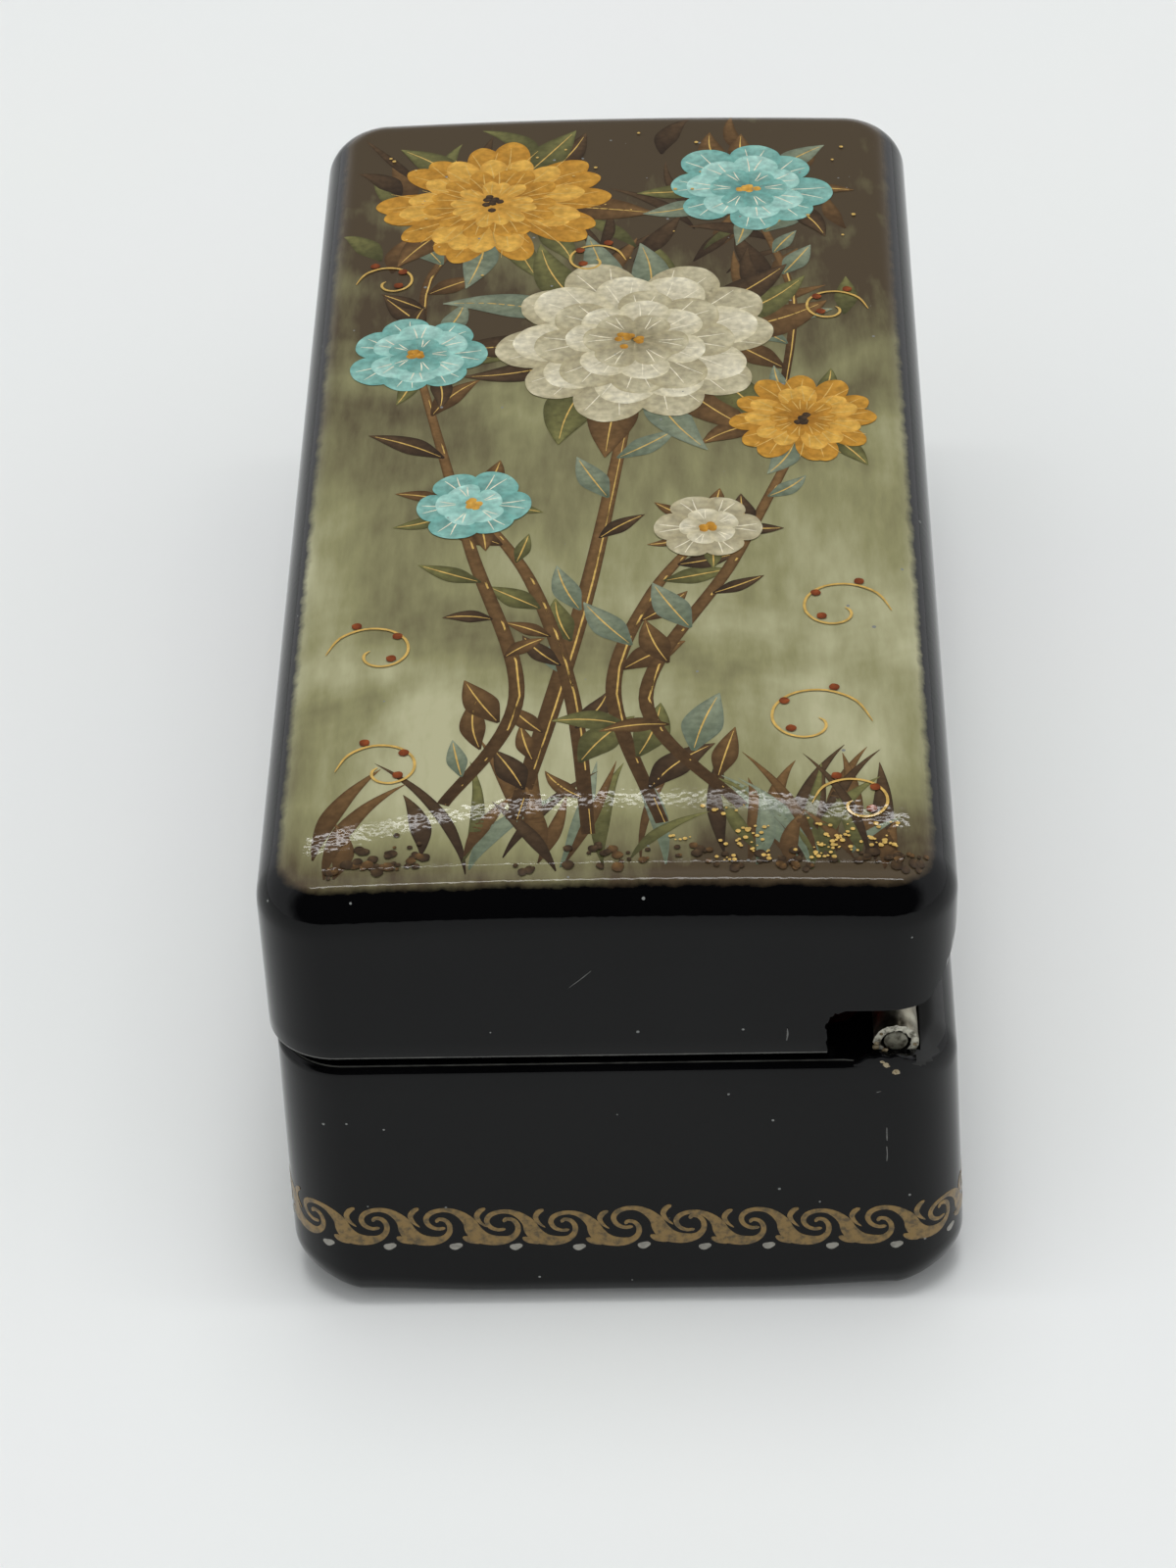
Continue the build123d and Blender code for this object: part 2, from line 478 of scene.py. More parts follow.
@dataclass(frozen=True)
class Laminate:
    """Matt white laminate of the table: even and pale, with a faint, fine mottle."""

    name: str = "table_laminate"
    colour: str = "#f1f2f0"
    grain_mm: float = 30.0
    mottle: float = 0.02
    roughness: float = 0.85
    specular: float = 0.1

    def build(self) -> Material:
        """Build the finish.

        Returns:
            Its material.
        """
        surface = Surface(self.name)
        grain = surface.noise(self.grain_mm, 3.0, out="Color")
        return surface.finish(Base_Color=surface.mix(self.mottle, self.colour, grain, "MULTIPLY"),
                              Roughness=self.roughness, Specular_IOR_Level=self.specular)


class Finish(Enum):
    """Finishes of the box and of the table."""

    BLACK = PlainLacquer("black_lacquer", "#040405", "#070708")
    # Pale grey lacquer for thin lines on the base's rim and the lid's lower edge: rubbed edges, and also a
    # painted highlight line.
    RUBBED = PlainLacquer("rubbed_black_lacquer", "#3a3a37", "#5c5c57", cloud_mm=1.2)
    # Lighter grey lacquer on the up-facing hinge shoulder of the base: a painted sheen.
    HAZED = PlainLacquer("hazed_black_lacquer", "#222221", "#2c2c2a", cloud_mm=4.0)
    RED = PlainLacquer("red_lacquer", "#7c1410", "#96201a")
    GROUND = PaintedGround()
    STROKES = TintedStrokes()
    TIN = Tinplate()
    WIRE = Tinplate("steel_wire_drawn", bright="#8e8c80", tarnish="#3a372f", patch_mm=0.6)
    CUT_TIN = Paint("tinplate_cut_edge", "#c0bdac", "#565243", roughness=0.6, streak_mm=0.35)
    FILED = Paint("wire_filed_end", "#858373", "#403b2d", roughness=0.6, streak_mm=0.5)
    GOLD = Paint("ochre_gold_paint", "#806531", "#524220", metallic=0.25)
    PALE = Paint("pale_grey_paint", "#8d8a80", "#75726a")
    GLUE = Paint("hide_glue", "#998b6d", "#675534", roughness=0.55, streak_mm=0.3, coat=0.2)
    SCRATCH = Paint("scratched_lacquer", "#62625f", "#454542", coat=0.0, roughness=0.6)
    TABLE = Laminate()

    @cached_property
    def material(self) -> Material:
        """The finish's material, built when a piece first asks for it."""
        return self.value.build()


def link(obj: Object) -> Object:
    """Put an object in the scene and return it."""
    bpy.context.scene.collection.objects.link(obj)
    return obj


def mesh_object(name: str, bm: Mesh, *finishes: Finish) -> Object:
    """Turn a bmesh to an object at the origin.

    Args:
        name: name of the piece.
        bm: its faces, in metres. It is freed.
        *finishes: its finishes, in the order of its material numbers.

    Returns:
        The object.
    """
    mesh = bpy.data.meshes.new(name)
    bm.to_mesh(mesh)
    bm.free()
    for finish in finishes:
        mesh.materials.append(finish.material)
    return link(bpy.data.objects.new(name, mesh))


def bake_modifiers(obj: Object) -> None:
    """Replace the object's mesh by its evaluated one and remove its modifiers.

    Args:
        obj: the object.
    """
    graph = bpy.context.evaluated_depsgraph_get()
    baked = bpy.data.meshes.new_from_object(obj.evaluated_get(graph))
    old = obj.data
    obj.modifiers.clear()
    obj.data = baked
    baked.name = obj.name
    bpy.data.meshes.remove(old)


def reshape(obj: Object, kind: str, **settings: object) -> None:
    """Change an object's mesh by one modifier.

    Args:
        obj: the object.
        kind: Blender's type name of the modifier.
        **settings: its properties.
    """
    modifier = obj.modifiers.new(kind.lower(), kind)
    for key, value in settings.items():
        setattr(modifier, key, value)
    bake_modifiers(obj)


def cut(obj: Object, cutter: Object) -> None:
    """Cut one closed mesh out of another and delete the cutter."""
    reshape(obj, "BOOLEAN", operation="DIFFERENCE", solver="EXACT", object=cutter)
    bpy.data.objects.remove(cutter)


def soften(obj: Object, width_mm: float, angle: float) -> None:
    """Round the edges that are sharper than an angle, in degrees."""
    reshape(obj, "BEVEL", width=width_mm * MM, segments=2, limit_method="ANGLE",
            angle_limit=math.radians(angle))


def settle(obj: Object, body: Body, slot: Slot, *nodes: str, angle: Optional[float] = SHARP_ANGLE) -> None:
    """Shade a finished piece, hang it on the empty of its body and hide the solids it stands for.

    Args:
        obj: the piece.
        body: body that it moves with.
        slot: not used.
        *nodes: solids that it stands for.
        angle: edges above this angle stay sharp. None leaves the faces flat.
    """
    if angle is not None:
        obj.data.shade_smooth()
        obj.data.set_sharp_from_angle(angle=angle)
    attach(obj, body.value)
    if nodes:
        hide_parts(*nodes)
    LOG.info("%s rides on %s, %d faces", obj.name, body.value, len(obj.data.polygons))


def bridge(bm: Mesh, rows: Sequence[Sequence[bmesh.types.BMVert]], material: int = 0,
           flip: bool = False) -> None:
    """Fill the room between rows of points with faces.

    Args:
        bm: mesh of the points.
        rows: rows of equal length.
        material: material number of the faces.
        flip: turn the faces the other way.
    """
    for a, b in zip(rows, rows[1:]):
        for k in range(len(a) - 1):
            corners = (a[k], b[k], b[k + 1], a[k + 1]) if flip else (a[k], a[k + 1], b[k + 1], b[k])
            bm.faces.new(corners).material_index = material


def smoothstep(low: float, high: float, value: float) -> float:
    """Smooth rise from 0 at low to 1 at high."""
    t = min(max((value - low) / (high - low), 0.0), 1.0)
    return t * t * (3 - 2 * t)


def spread(low: float, high: float, steps: int) -> List[float]:
    """Even stations from low to high."""
    return [low + (high - low) * step / steps for step in range(steps + 1)]


def quarter(radius: float, steps: int) -> List[Point2]:
    """Quarter round from a wall to a level: inset and drop at each step."""
    return [(radius * (1 - math.cos(a)), radius * (1 - math.sin(a))) for a in spread(0.0, math.pi / 2, steps)]


def arc(centre: Point2, radius: float, start: float, end: float, steps: int) -> List[Point2]:
    """Points of an arc from a start to an end angle, in degrees."""
    angles = [math.radians(degrees) for degrees in spread(start, end, steps)]
    return [(centre[0] + radius * math.cos(a), centre[1] + radius * math.sin(a)) for a in angles]


def smooth_path(points: Sequence[Sequence[float]], steps: int) -> List[Tuple[float, ...]]:
    """Catmull-Rom curve through points of any dimension.

    Args:
        points: points that the curve goes through.
        steps: pieces between one point and the next.

    Returns:
        Points along the curve.
    """
    ends = [points[0], *points, points[-1]]
    result: List[Tuple[float, ...]] = []
    for a, b, c, d in zip(ends, ends[1:], ends[2:], ends[3:]):
        for t in (step / steps for step in range(steps)):
            result.append(tuple(
                q + 0.5 * t * (r - p + t * (2 * p - 5 * q + 4 * r - s + t * (3 * (q - r) + s - p)))
                for p, q, r, s in zip(a, b, c, d)))
    result.append(tuple(points[-1]))
    return result


def headings(path: Sequence[Sequence[float]]) -> Iterator[Vector]:
    """Direction of a path, in its plane, at each of its points."""
    for behind, ahead in zip([path[0], *path], [*path[1:], path[-1]]):
        yield Vector((ahead[0] - behind[0], ahead[1] - behind[1])).normalized()


@dataclass(frozen=True)
class OutlinePoint:
    """A point of a rounded oblong with its outward direction."""

    x: float
    y: float
    nx: float
    ny: float

    def inset(self, distance: float = 0.0) -> Point2:
        """The point moved inwards."""
        return (self.x - self.nx * distance, self.y - self.ny * distance)


@dataclass(frozen=True)
class Oblong:
    """Rounded oblong seen from above, in millimetres, centred on the origin."""

    half_x: float
    half_y: float
    radius: float
    corner_steps: int = 20
    steps_x: int = 24
    steps_y: int = 48

    def points(self) -> List[OutlinePoint]:
        """Points of the outline, alike in number for any size.

        Returns:
            Points anticlockwise, from the near end of the +X side.
        """
        core_x, core_y = self.half_x - self.radius, self.half_y - self.radius
        corners = ((core_x, core_y), (-core_x, core_y), (-core_x, -core_y), (core_x, -core_y))
        facing = ((1, 0), (0, 1), (-1, 0), (0, -1))
        result: List[OutlinePoint] = []
        for index, ((cx, cy), (nx, ny)) in enumerate(zip(corners, facing)):
            ax, ay = corners[index - 1]
            steps = self.steps_x if index % 2 else self.steps_y
            for t in (step / steps for step in range(1, steps)):
                x, y = ax + (cx - ax) * t, ay + (cy - ay) * t
                result.append(OutlinePoint(x + nx * self.radius, y + ny * self.radius, nx, ny))
            for turn in spread(90 * index, 90 * index + 90, self.corner_steps):
                nx, ny = math.cos(math.radians(turn)), math.sin(math.radians(turn))
                result.append(OutlinePoint(cx + self.radius * nx, cy + self.radius * ny, nx, ny))
        return result

    def ring(self, z: float, inset: float = 0.0) -> List[Point3]:
        """The outline at a height, moved inwards."""
        return [(*p.inset(inset), z) for p in self.points()]


class RingMesh:
    """Closed mesh made of rings of equal point counts, joined one to the next."""

    def __init__(self, capped: bool = False) -> None:
        """Start an empty mesh.

        Args:
            capped: close its first ring with a flat face.
        """
        self.bm = bmesh.new()
        self.capped = capped
        self.last: List[bmesh.types.BMVert] = []

    def ring(self, points: Iterable[Point3], material: int = 0) -> None:
        """Add a ring, in millimetres, and join it to the ring before it.

        Args:
            points: the ring's points.
            material: material number of the faces to the ring before.
        """
        verts = [self.bm.verts.new(Vector(p) * MM) for p in points]
        if self.last:
            bridge(self.bm, [ring + ring[:1] for ring in (self.last, verts)], material)
        self.last = verts
        if self.capped:
            self.cap()
            self.capped = False

    def cap(self, material: int = 0) -> None:
        """Close the last ring with one flat face."""
        self.bm.faces.new(self.last).material_index = material

    def finish(self) -> Mesh:
        """Merge doubles and turn the faces outwards.

        Returns:
            The mesh.
        """
        bmesh.ops.remove_doubles(self.bm, verts=self.bm.verts, dist=1e-7)
        bmesh.ops.dissolve_degenerate(self.bm, edges=self.bm.edges, dist=1e-8)
        bmesh.ops.recalc_face_normals(self.bm, faces=self.bm.faces)
        return self.bm


def still(corner: int, station: int) -> Point2:
    """No shift of any corner at any station."""
    return (0.0, 0.0)


def along_y(section: Sequence[Point2], stations: Sequence[float],
            wander: Callable[[int, int], Point2] = still) -> Mesh:
    """Closed prism of an XZ section run along Y.

    Args:
        section: corners of the section in order, in millimetres.
        stations: places along Y of its copies.
        wander: shift of corner i at station k.

    Returns:
        The closed mesh.
    """
    mesh = RingMesh(capped=True)
    for k, y in enumerate(stations):
        shifts = [wander(i, k) for i in range(len(section))]
        mesh.ring((x + dx, y, z + dz) for (x, z), (dx, dz) in zip(section, shifts))
    mesh.cap()
    return mesh.finish()


def node_box(node: str) -> Tuple[Vector, Vector]:
    """Lowest and highest corners of a solid, in millimetres."""
    low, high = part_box(node)
    return Vector(low) / MM, Vector(high) / MM


@dataclass(frozen=True)
class BoxPlan:
    """Levels and outlines that the pieces share, in millimetres, read from the solids."""

    base_half: Point2
    base_foot_x: float
    lid_half: Point2
    collar_half: Point2
    floor_top: float
    rim_z: float
    collar_top: float
    lid_bottom: float
    board_z: float
    lid_top: float
    hinge_x: float
    hinge_z: float
    rear_proud: float = 0.7
    shoulder_z: float = 17.5
    flare: float = 0.0429
    base_corner: float = 4.3
    lid_corner: float = 4.4

    @classmethod
    def from_frame(cls) -> "BoxPlan":
        """Read the plan from the frame.

        Returns:
            The plan.
        """
        wall_low, wall_high = node_box("base_wall")
        board_low, board_high = node_box("lid_top")
        collar_high = node_box("base_collar")[1]
        hinge = Vector(frame["joints"][0]["pos_m"]) / MM
        return cls(base_half=(-wall_low.x, wall_high.y), base_foot_x=node_box("base_floor")[1].x,
                   lid_half=(board_high.x, board_high.y),
                   collar_half=(collar_high.x, collar_high.y), floor_top=wall_low.z, rim_z=wall_high.z,
                   collar_top=collar_high.z, lid_bottom=node_box("lid_wall")[0].z, board_z=board_low.z,
                   lid_top=board_high.z, hinge_x=hinge.x, hinge_z=hinge.z)

    def base_outline(self) -> Oblong:
        """Outer outline of the base, as if the hinge side stood like the opening side."""
        return Oblong(*self.base_half, self.base_corner)

    def lid_outline(self) -> Oblong:
        """Outer outline of the lid at its widest."""
        return Oblong(*self.lid_half, self.lid_corner, steps_y=LID_STEPS)

    def collar_outline(self, gap: float, radius: float, steps_y: int = Oblong.steps_y) -> Oblong:
        """Outline at a distance outside the collar."""
        return Oblong(self.collar_half[0] + gap, self.collar_half[1] + gap, radius, steps_y=steps_y)

    def flared(self, point: OutlinePoint, z: float) -> OutlinePoint:
        """Point of the base's outline at a height, with the hinge side leaning out towards its foot.

        Args:
            point: point of the upright outline.
            z: the height.

        Returns:
            The moved point.
        """
        core = self.base_half[0] - self.base_corner
        share = min(max((point.x + core) / (2 * core), 0.0), 1.0)
        out = self.rear_proud + self.flare * max(self.shoulder_z - z, 0.0)
        out = min(out, self.base_foot_x - self.base_half[0])
        return OutlinePoint(point.x + out * share, point.y, point.nx, point.ny)

    def hinge_circle(self, radius: float, steps: int) -> List[Point2]:
        """Corners of a circle about the hinge, seen along Y."""
        return arc((self.hinge_x, self.hinge_z), radius, 0, 360, steps)[:-1]


@dataclass
class Piece:
    """Sub-assembly that the plan places."""

    plan: BoxPlan


@dataclass
class BaseShell(Piece):
    """Base: bottom board and wound wall under one coat of black lacquer, red inside."""

    foot_radius: float = 2.1
    foot_side: float = 0.5
    foot_side_facing: Point2 = (0.0, 0.9)
    foot_corner: float = 0.6
    foot_ends: float = 0.6
    foot_ends_x: Point2 = (8.0, 16.5)
    rim_radius: float = 0.64
    hinge_rim: float = 0.14
    hinge_rim_x: Point2 = (14.0, 15.4)
    shoulder_radius: float = 2.5
    shoulder_facing: Point2 = (0.15, 0.95)
    # Row of the rim's rounding that takes the painted highlight line.
    rubbed_and_highlight_step: int = 8
    # Where the painted sheen starts, across and up, and how far a face must lean upwards to take it.
    sheen_from: Point2 = (18.2, 19.2)
    sheen_slope: float = 0.2
    cavity_gap: float = 0.05
    cavity_radius: float = 2.2
    saddle_radius: float = 1.6
    saddle_steps: int = 48
    round_steps: int = 10
    wall_rows: int = 12
    groove_inset: float = 1.22

    FINISHES = (Finish.BLACK, Finish.RED, Finish.RUBBED, Finish.HAZED)
    BLACK, RED, RUBBED, HAZED = range(4)

    def foot_rounding(self, point: OutlinePoint) -> float:
        """Radius of the lower edge at a point: larger along the long sides and at the corners.

        Args:
            point: point of the outline.

        Returns:
            The radius.
        """
        side = self.foot_side * smoothstep(*self.foot_side_facing, abs(point.nx))
        corner = self.foot_corner * 2 * abs(point.nx * point.ny)
        return self.foot_radius + self.foot_ends * smoothstep(*self.foot_ends_x, abs(point.x)) + side + corner

    def rim_rounding(self, point: OutlinePoint) -> float:
        """Radius of the rim at a point: nearly sharp by the hinge's ends, large along the hinge side.

        Args:
            point: point of the outline.

        Returns:
            The radius.
        """
        share = smoothstep(*self.shoulder_facing, point.nx)
        small = self.rim_radius + (self.hinge_rim - self.rim_radius) * smoothstep(*self.hinge_rim_x, point.x)
        return small + (self.shoulder_radius - small) * share

    def wall_point(self, point: OutlinePoint, inset: float, z: float) -> Point3:
        """Place on the wall at a height, moved inwards."""
        return (*self.plan.flared(point, z).inset(inset), z)

    def build(self) -> None:
        """Make the shell: foot, wall, rim and inside, with the saddle of the hinge cut out."""
        points, rim_z = self.plan.base_outline().points(), self.plan.rim_z
        feet = [quarter(self.foot_rounding(p), self.round_steps) for p in points]
        rims = [quarter(self.rim_rounding(p), self.round_steps) for p in points]
        mesh = RingMesh(capped=True)
        for step in range(self.round_steps, -1, -1):
            mesh.ring(self.wall_point(p, *foot[step]) for p, foot in zip(points, feet))
        for row in range(1, self.wall_rows + 1):
            levels = [foot[0][1] + (rim_z - rim[0][1] - foot[0][1]) * row / self.wall_rows
                      for foot, rim in zip(feet, rims)]
            mesh.ring(self.wall_point(p, 0.0, z) for p, z in zip(points, levels))
        for step in range(1, self.round_steps + 1):
            falls = zip(points, (rim[step] for rim in rims))
            # One row near the top of the rim's rounding gets the pale lacquer: a painted highlight line, also
            # standing for rubbed lacquer.
            mesh.ring((self.wall_point(p, inset, rim_z - drop) for p, (inset, drop) in falls),
                      self.RUBBED if step == self.rubbed_and_highlight_step else self.BLACK)
        cavity = self.plan.collar_outline(self.cavity_gap, self.cavity_radius)
        mesh.ring(cavity.ring(rim_z), self.BLACK)
        mesh.ring(cavity.ring(self.plan.floor_top), self.RED)
        mesh.cap(self.RED)
        shell = mesh_object("base_shell", mesh.finish(), *self.FINISHES)
        reach = self.plan.base_half[1] - self.groove_inset
        groove = along_y(self.plan.hinge_circle(self.saddle_radius, self.saddle_steps), (-reach, reach))
        cut(shell, mesh_object("groove", groove, *self.FINISHES))
        # Faces of the hinge shoulder that face upwards take the lighter grey lacquer: a painted sheen.
        sheen_x, sheen_z = (worn * MM for worn in self.sheen_from)
        for face in shell.data.polygons:
            if face.normal.z > self.sheen_slope and face.center.x > sheen_x and face.center.z > sheen_z:
                face.material_index = self.HAZED
        settle(shell, Body.BASE, Slot.BLACK, "base_wall", "base_floor")


@dataclass
class Collar(Piece):
    """Thin strip glued inside the base wall, that the lid closes over."""

    thickness: float = 1.0
    outer_radius: float = 2.15
    edge_radius: float = 0.35
    round_steps: int = 5

    def build(self) -> None:
        """Make the collar: up its outer side, over the rounded edge and down its inner side."""
        outer = self.plan.collar_outline(0.0, self.outer_radius)
        inner = self.plan.collar_outline(-self.thickness, self.outer_radius - self.thickness)
        low, top = self.plan.floor_top, self.plan.collar_top
        rounding = quarter(self.edge_radius, self.round_steps)
        rows = [(outer, low, 0.0)]
        rows += [(outer, top - drop, inset) for inset, drop in rounding]
        rows += [(inner, top - drop, -inset) for inset, drop in reversed(rounding)]
        rows += [(inner, low, 0.0), (outer, low, 0.0)]
        mesh = RingMesh()
        for outline, z, inset in rows:
            mesh.ring(outline.ring(z, inset))
        settle(mesh_object("collar", mesh.finish(), Finish.RED), Body.BASE, Slot.RED, "base_collar")


@dataclass
class LidShell(Piece):
    """Lid: wound wall and pressed, crowned board with rolled edges under one coat of lacquer."""

    crown_rise: float = 0.5
    roll_radius: float = 2.9
    inner_insets: Point2 = (3.9, 3.4)
    paint_room: float = 0.12
    sag: float = 0.105
    sag_y: Point2 = (-34.4, -37.9)
    sag_bow: float = 2.3
    sag_lean: float = 0.8
    sag_reach: float = 16.0
    draft: float = 0.1
    edge_radius: float = 0.3
    edge_steps: int = 4
    cavity_gap: float = 0.35
    cavity_radius: float = 2.5
    relief_reach: float = 4.25
    relief_ceiling: float = 24.229
    relief_radius: float = 1.2
    relief_steps: int = 8
    relief_shares: Tuple[float, ...] = (0.0, 0.25, 0.45, 0.6, 0.75, 0.9)
    relief_stations: int = 140
    rear_corner: float = 19.1
    rear_radius: float = 0.5
    rear_shares: Tuple[float, ...] = (0.0, 0.25, 0.5, 0.75)
    tuck_drop: float = 0.8
    tuck_steps: int = 16
    chip: float = 0.16
    chip_least: float = 0.25
    chip_depth: Point2 = (3.0, 0.5)
    chipped_corners: int = 14
    chip_seed: int = 11
    overcut: float = 1.0
    round_steps: int = 14
    wall_rows: int = 8

    FINISHES = (Finish.BLACK, Finish.GROUND, Finish.RED, Finish.RUBBED)
    BLACK, GROUND, RED, RUBBED = range(4)

    def crown(self, x: float, y: float) -> float:
        """Height of the unrolled crown at a place of the plan, a little sunk at the near end.

        Args:
            x: place across.
            y: place along.

        Returns:
            The height.
        """
        radius = (self.plan.lid_half[0] ** 2 + self.crown_rise ** 2) / (2 * self.crown_rise)
        aside = x / self.sag_reach
        sunk = self.sag * smoothstep(*self.sag_y, y + self.sag_bow * aside ** 2 - self.sag_lean * aside)
        return self.plan.lid_top - self.paint_room - sunk - radius + math.sqrt(radius ** 2 - x ** 2)

    def roll_drop(self, inset: float) -> float:
        """Fall of the rolled edge at a distance from the outline."""
        left = max(self.roll_radius - inset, 0.0)
        return self.roll_radius - math.sqrt(self.roll_radius ** 2 - left ** 2)

    def top_z(self, x: float, y: float) -> float:
        """Height of the finished top at a place of the plan.

        Args:
            x: place across.
            y: place along.

        Returns:
            The height.
        """
        past_x = abs(x) - self.plan.lid_half[0] + self.plan.lid_corner
        past_y = abs(y) - self.plan.lid_half[1] + self.plan.lid_corner
        past = math.hypot(past_x, past_y) if past_x > 0 and past_y > 0 else max(past_x, past_y)
        return self.crown(x, y) - self.roll_drop(max(self.plan.lid_corner - past, 0.0))

    def relief_section(self) -> List[Point2]:
        """Section of the cut along the hinge: a rebate over the tube and a tucked-in rear corner.

        Returns:
            Corners of the closed section.
        """
        left = self.plan.hinge_x - self.relief_reach
        low = self.plan.lid_bottom - self.overcut
        ceiling, radius = self.relief_ceiling, self.relief_radius
        wide = self.plan.lid_half[0]
        tuck_z = self.plan.board_z - self.tuck_drop
        run, rise = wide - self.rear_corner, tuck_z - ceiling
        tuck_radius = (run ** 2 + rise ** 2) / (2 * run)
        corner_angle = -math.degrees(math.asin(rise / tuck_radius))
        tuck = arc((wide - tuck_radius, tuck_z), tuck_radius, corner_angle, 0, self.tuck_steps)
        start, knee, end = (Vector(p) for p in ((self.rear_corner - self.rear_radius, ceiling), *tuck[:2]))
        bend = [tuple(start.lerp(knee, t).lerp(knee.lerp(end, t), t)) for t in self.rear_shares]
        side = [(left, low + (ceiling - radius - low) * t) for t in self.relief_shares]
        corner = arc((left + radius, ceiling - radius), radius, 180, 90, self.relief_steps)
        outside = [(wide + self.overcut, tuck_z), (wide + self.overcut, low)]
        return side + corner + bend + tuck[1:] + outside

    def build(self) -> None:
        """Make the shell: top, wall, lower edge and inside, with the relief over the hinge cut out."""
        outline, board_z, bottom = self.plan.lid_outline(), self.plan.board_z, self.plan.lid_bottom
        mesh = RingMesh()
        roll = [inset for inset, _ in quarter(self.roll_radius, self.round_steps)]
        for inset in (self.plan.lid_corner, *self.inner_insets, *reversed(roll)):
            fall = self.roll_drop(inset)
            mesh.ring(((x, y, self.crown(x, y) - fall) for x, y, _ in outline.ring(0.0, inset)), self.GROUND)
        mesh.ring(outline.ring(board_z))
        height = board_z - bottom
        for row in range(1, self.wall_rows + 1):
            share = row / self.wall_rows * (1 - self.edge_radius / height)
            mesh.ring(outline.ring(board_z - height * share, self.draft * share))
        # The first row of the lower edge gets the pale lacquer: a painted highlight line, also standing for
        # rubbed lacquer.
        for step, (inset, drop) in enumerate(quarter(self.edge_radius, self.edge_steps)[1:]):
            mesh.ring(outline.ring(bottom + drop, self.draft + inset), self.BLACK if step else self.RUBBED)
        cavity = self.plan.collar_outline(self.cavity_gap, self.cavity_radius, LID_STEPS)
        mesh.ring(cavity.ring(bottom), self.BLACK)
        mesh.ring(cavity.ring(board_z), self.RED)
        mesh.cap(self.RED)
        self._top_grid(mesh.bm, outline)
        shell = mesh_object("lid_shell", mesh.finish(), *self.FINISHES)
        cut(shell, self._relief_cutter())
        settle(shell, Body.LID, Slot.BLACK, "lid_wall", "lid_top")

    def _top_grid(self, bm: Mesh, outline: Oblong) -> None:
        """Fill the middle of the top with a regular grid that meets the innermost ring.

        Args:
            bm: mesh of the lid.
            outline: its outline.
        """
        core_x, core_y = outline.half_x - outline.radius, outline.half_y - outline.radius
        columns = spread(-core_x, core_x, outline.steps_x)
        bridge(bm, [[bm.verts.new(Vector((x, y, self.crown(x, y))) * MM) for x in columns]
                    for y in spread(-core_y, core_y, outline.steps_y)], self.GROUND)

    def _relief_cutter(self) -> Object:
        """Cutter of the relief, rough where the edge has chipped.

        Returns:
            The cutter.
        """
        reach = self.plan.lid_half[1] + self.overcut
        stations = spread(-reach, reach, self.relief_stations)
        rng = random.Random(self.chip_seed)
        rough = {(i, k): (rng.uniform(-1, 1), rng.uniform(-1, 1))
                 for i in range(self.chipped_corners) for k in range(len(stations))}

        def wander(i: int, k: int) -> Point2:
            """Shift of a corner of the section: large near the ends, slight between them.

            Args:
                i: number of the corner.
                k: number of the station.

            Returns:
                Shift across and up.
            """
            dx, dz = rough.get((i, k), (0.0, 0.0))
            near = smoothstep(*self.chip_depth, reach - abs(stations[k]))
            size = self.chip * (self.chip_least + (1 - self.chip_least) * near)
            return (dx * size, dz * size)

        return mesh_object("relief", along_y(self.relief_section(), stations, wander), *self.FINISHES)


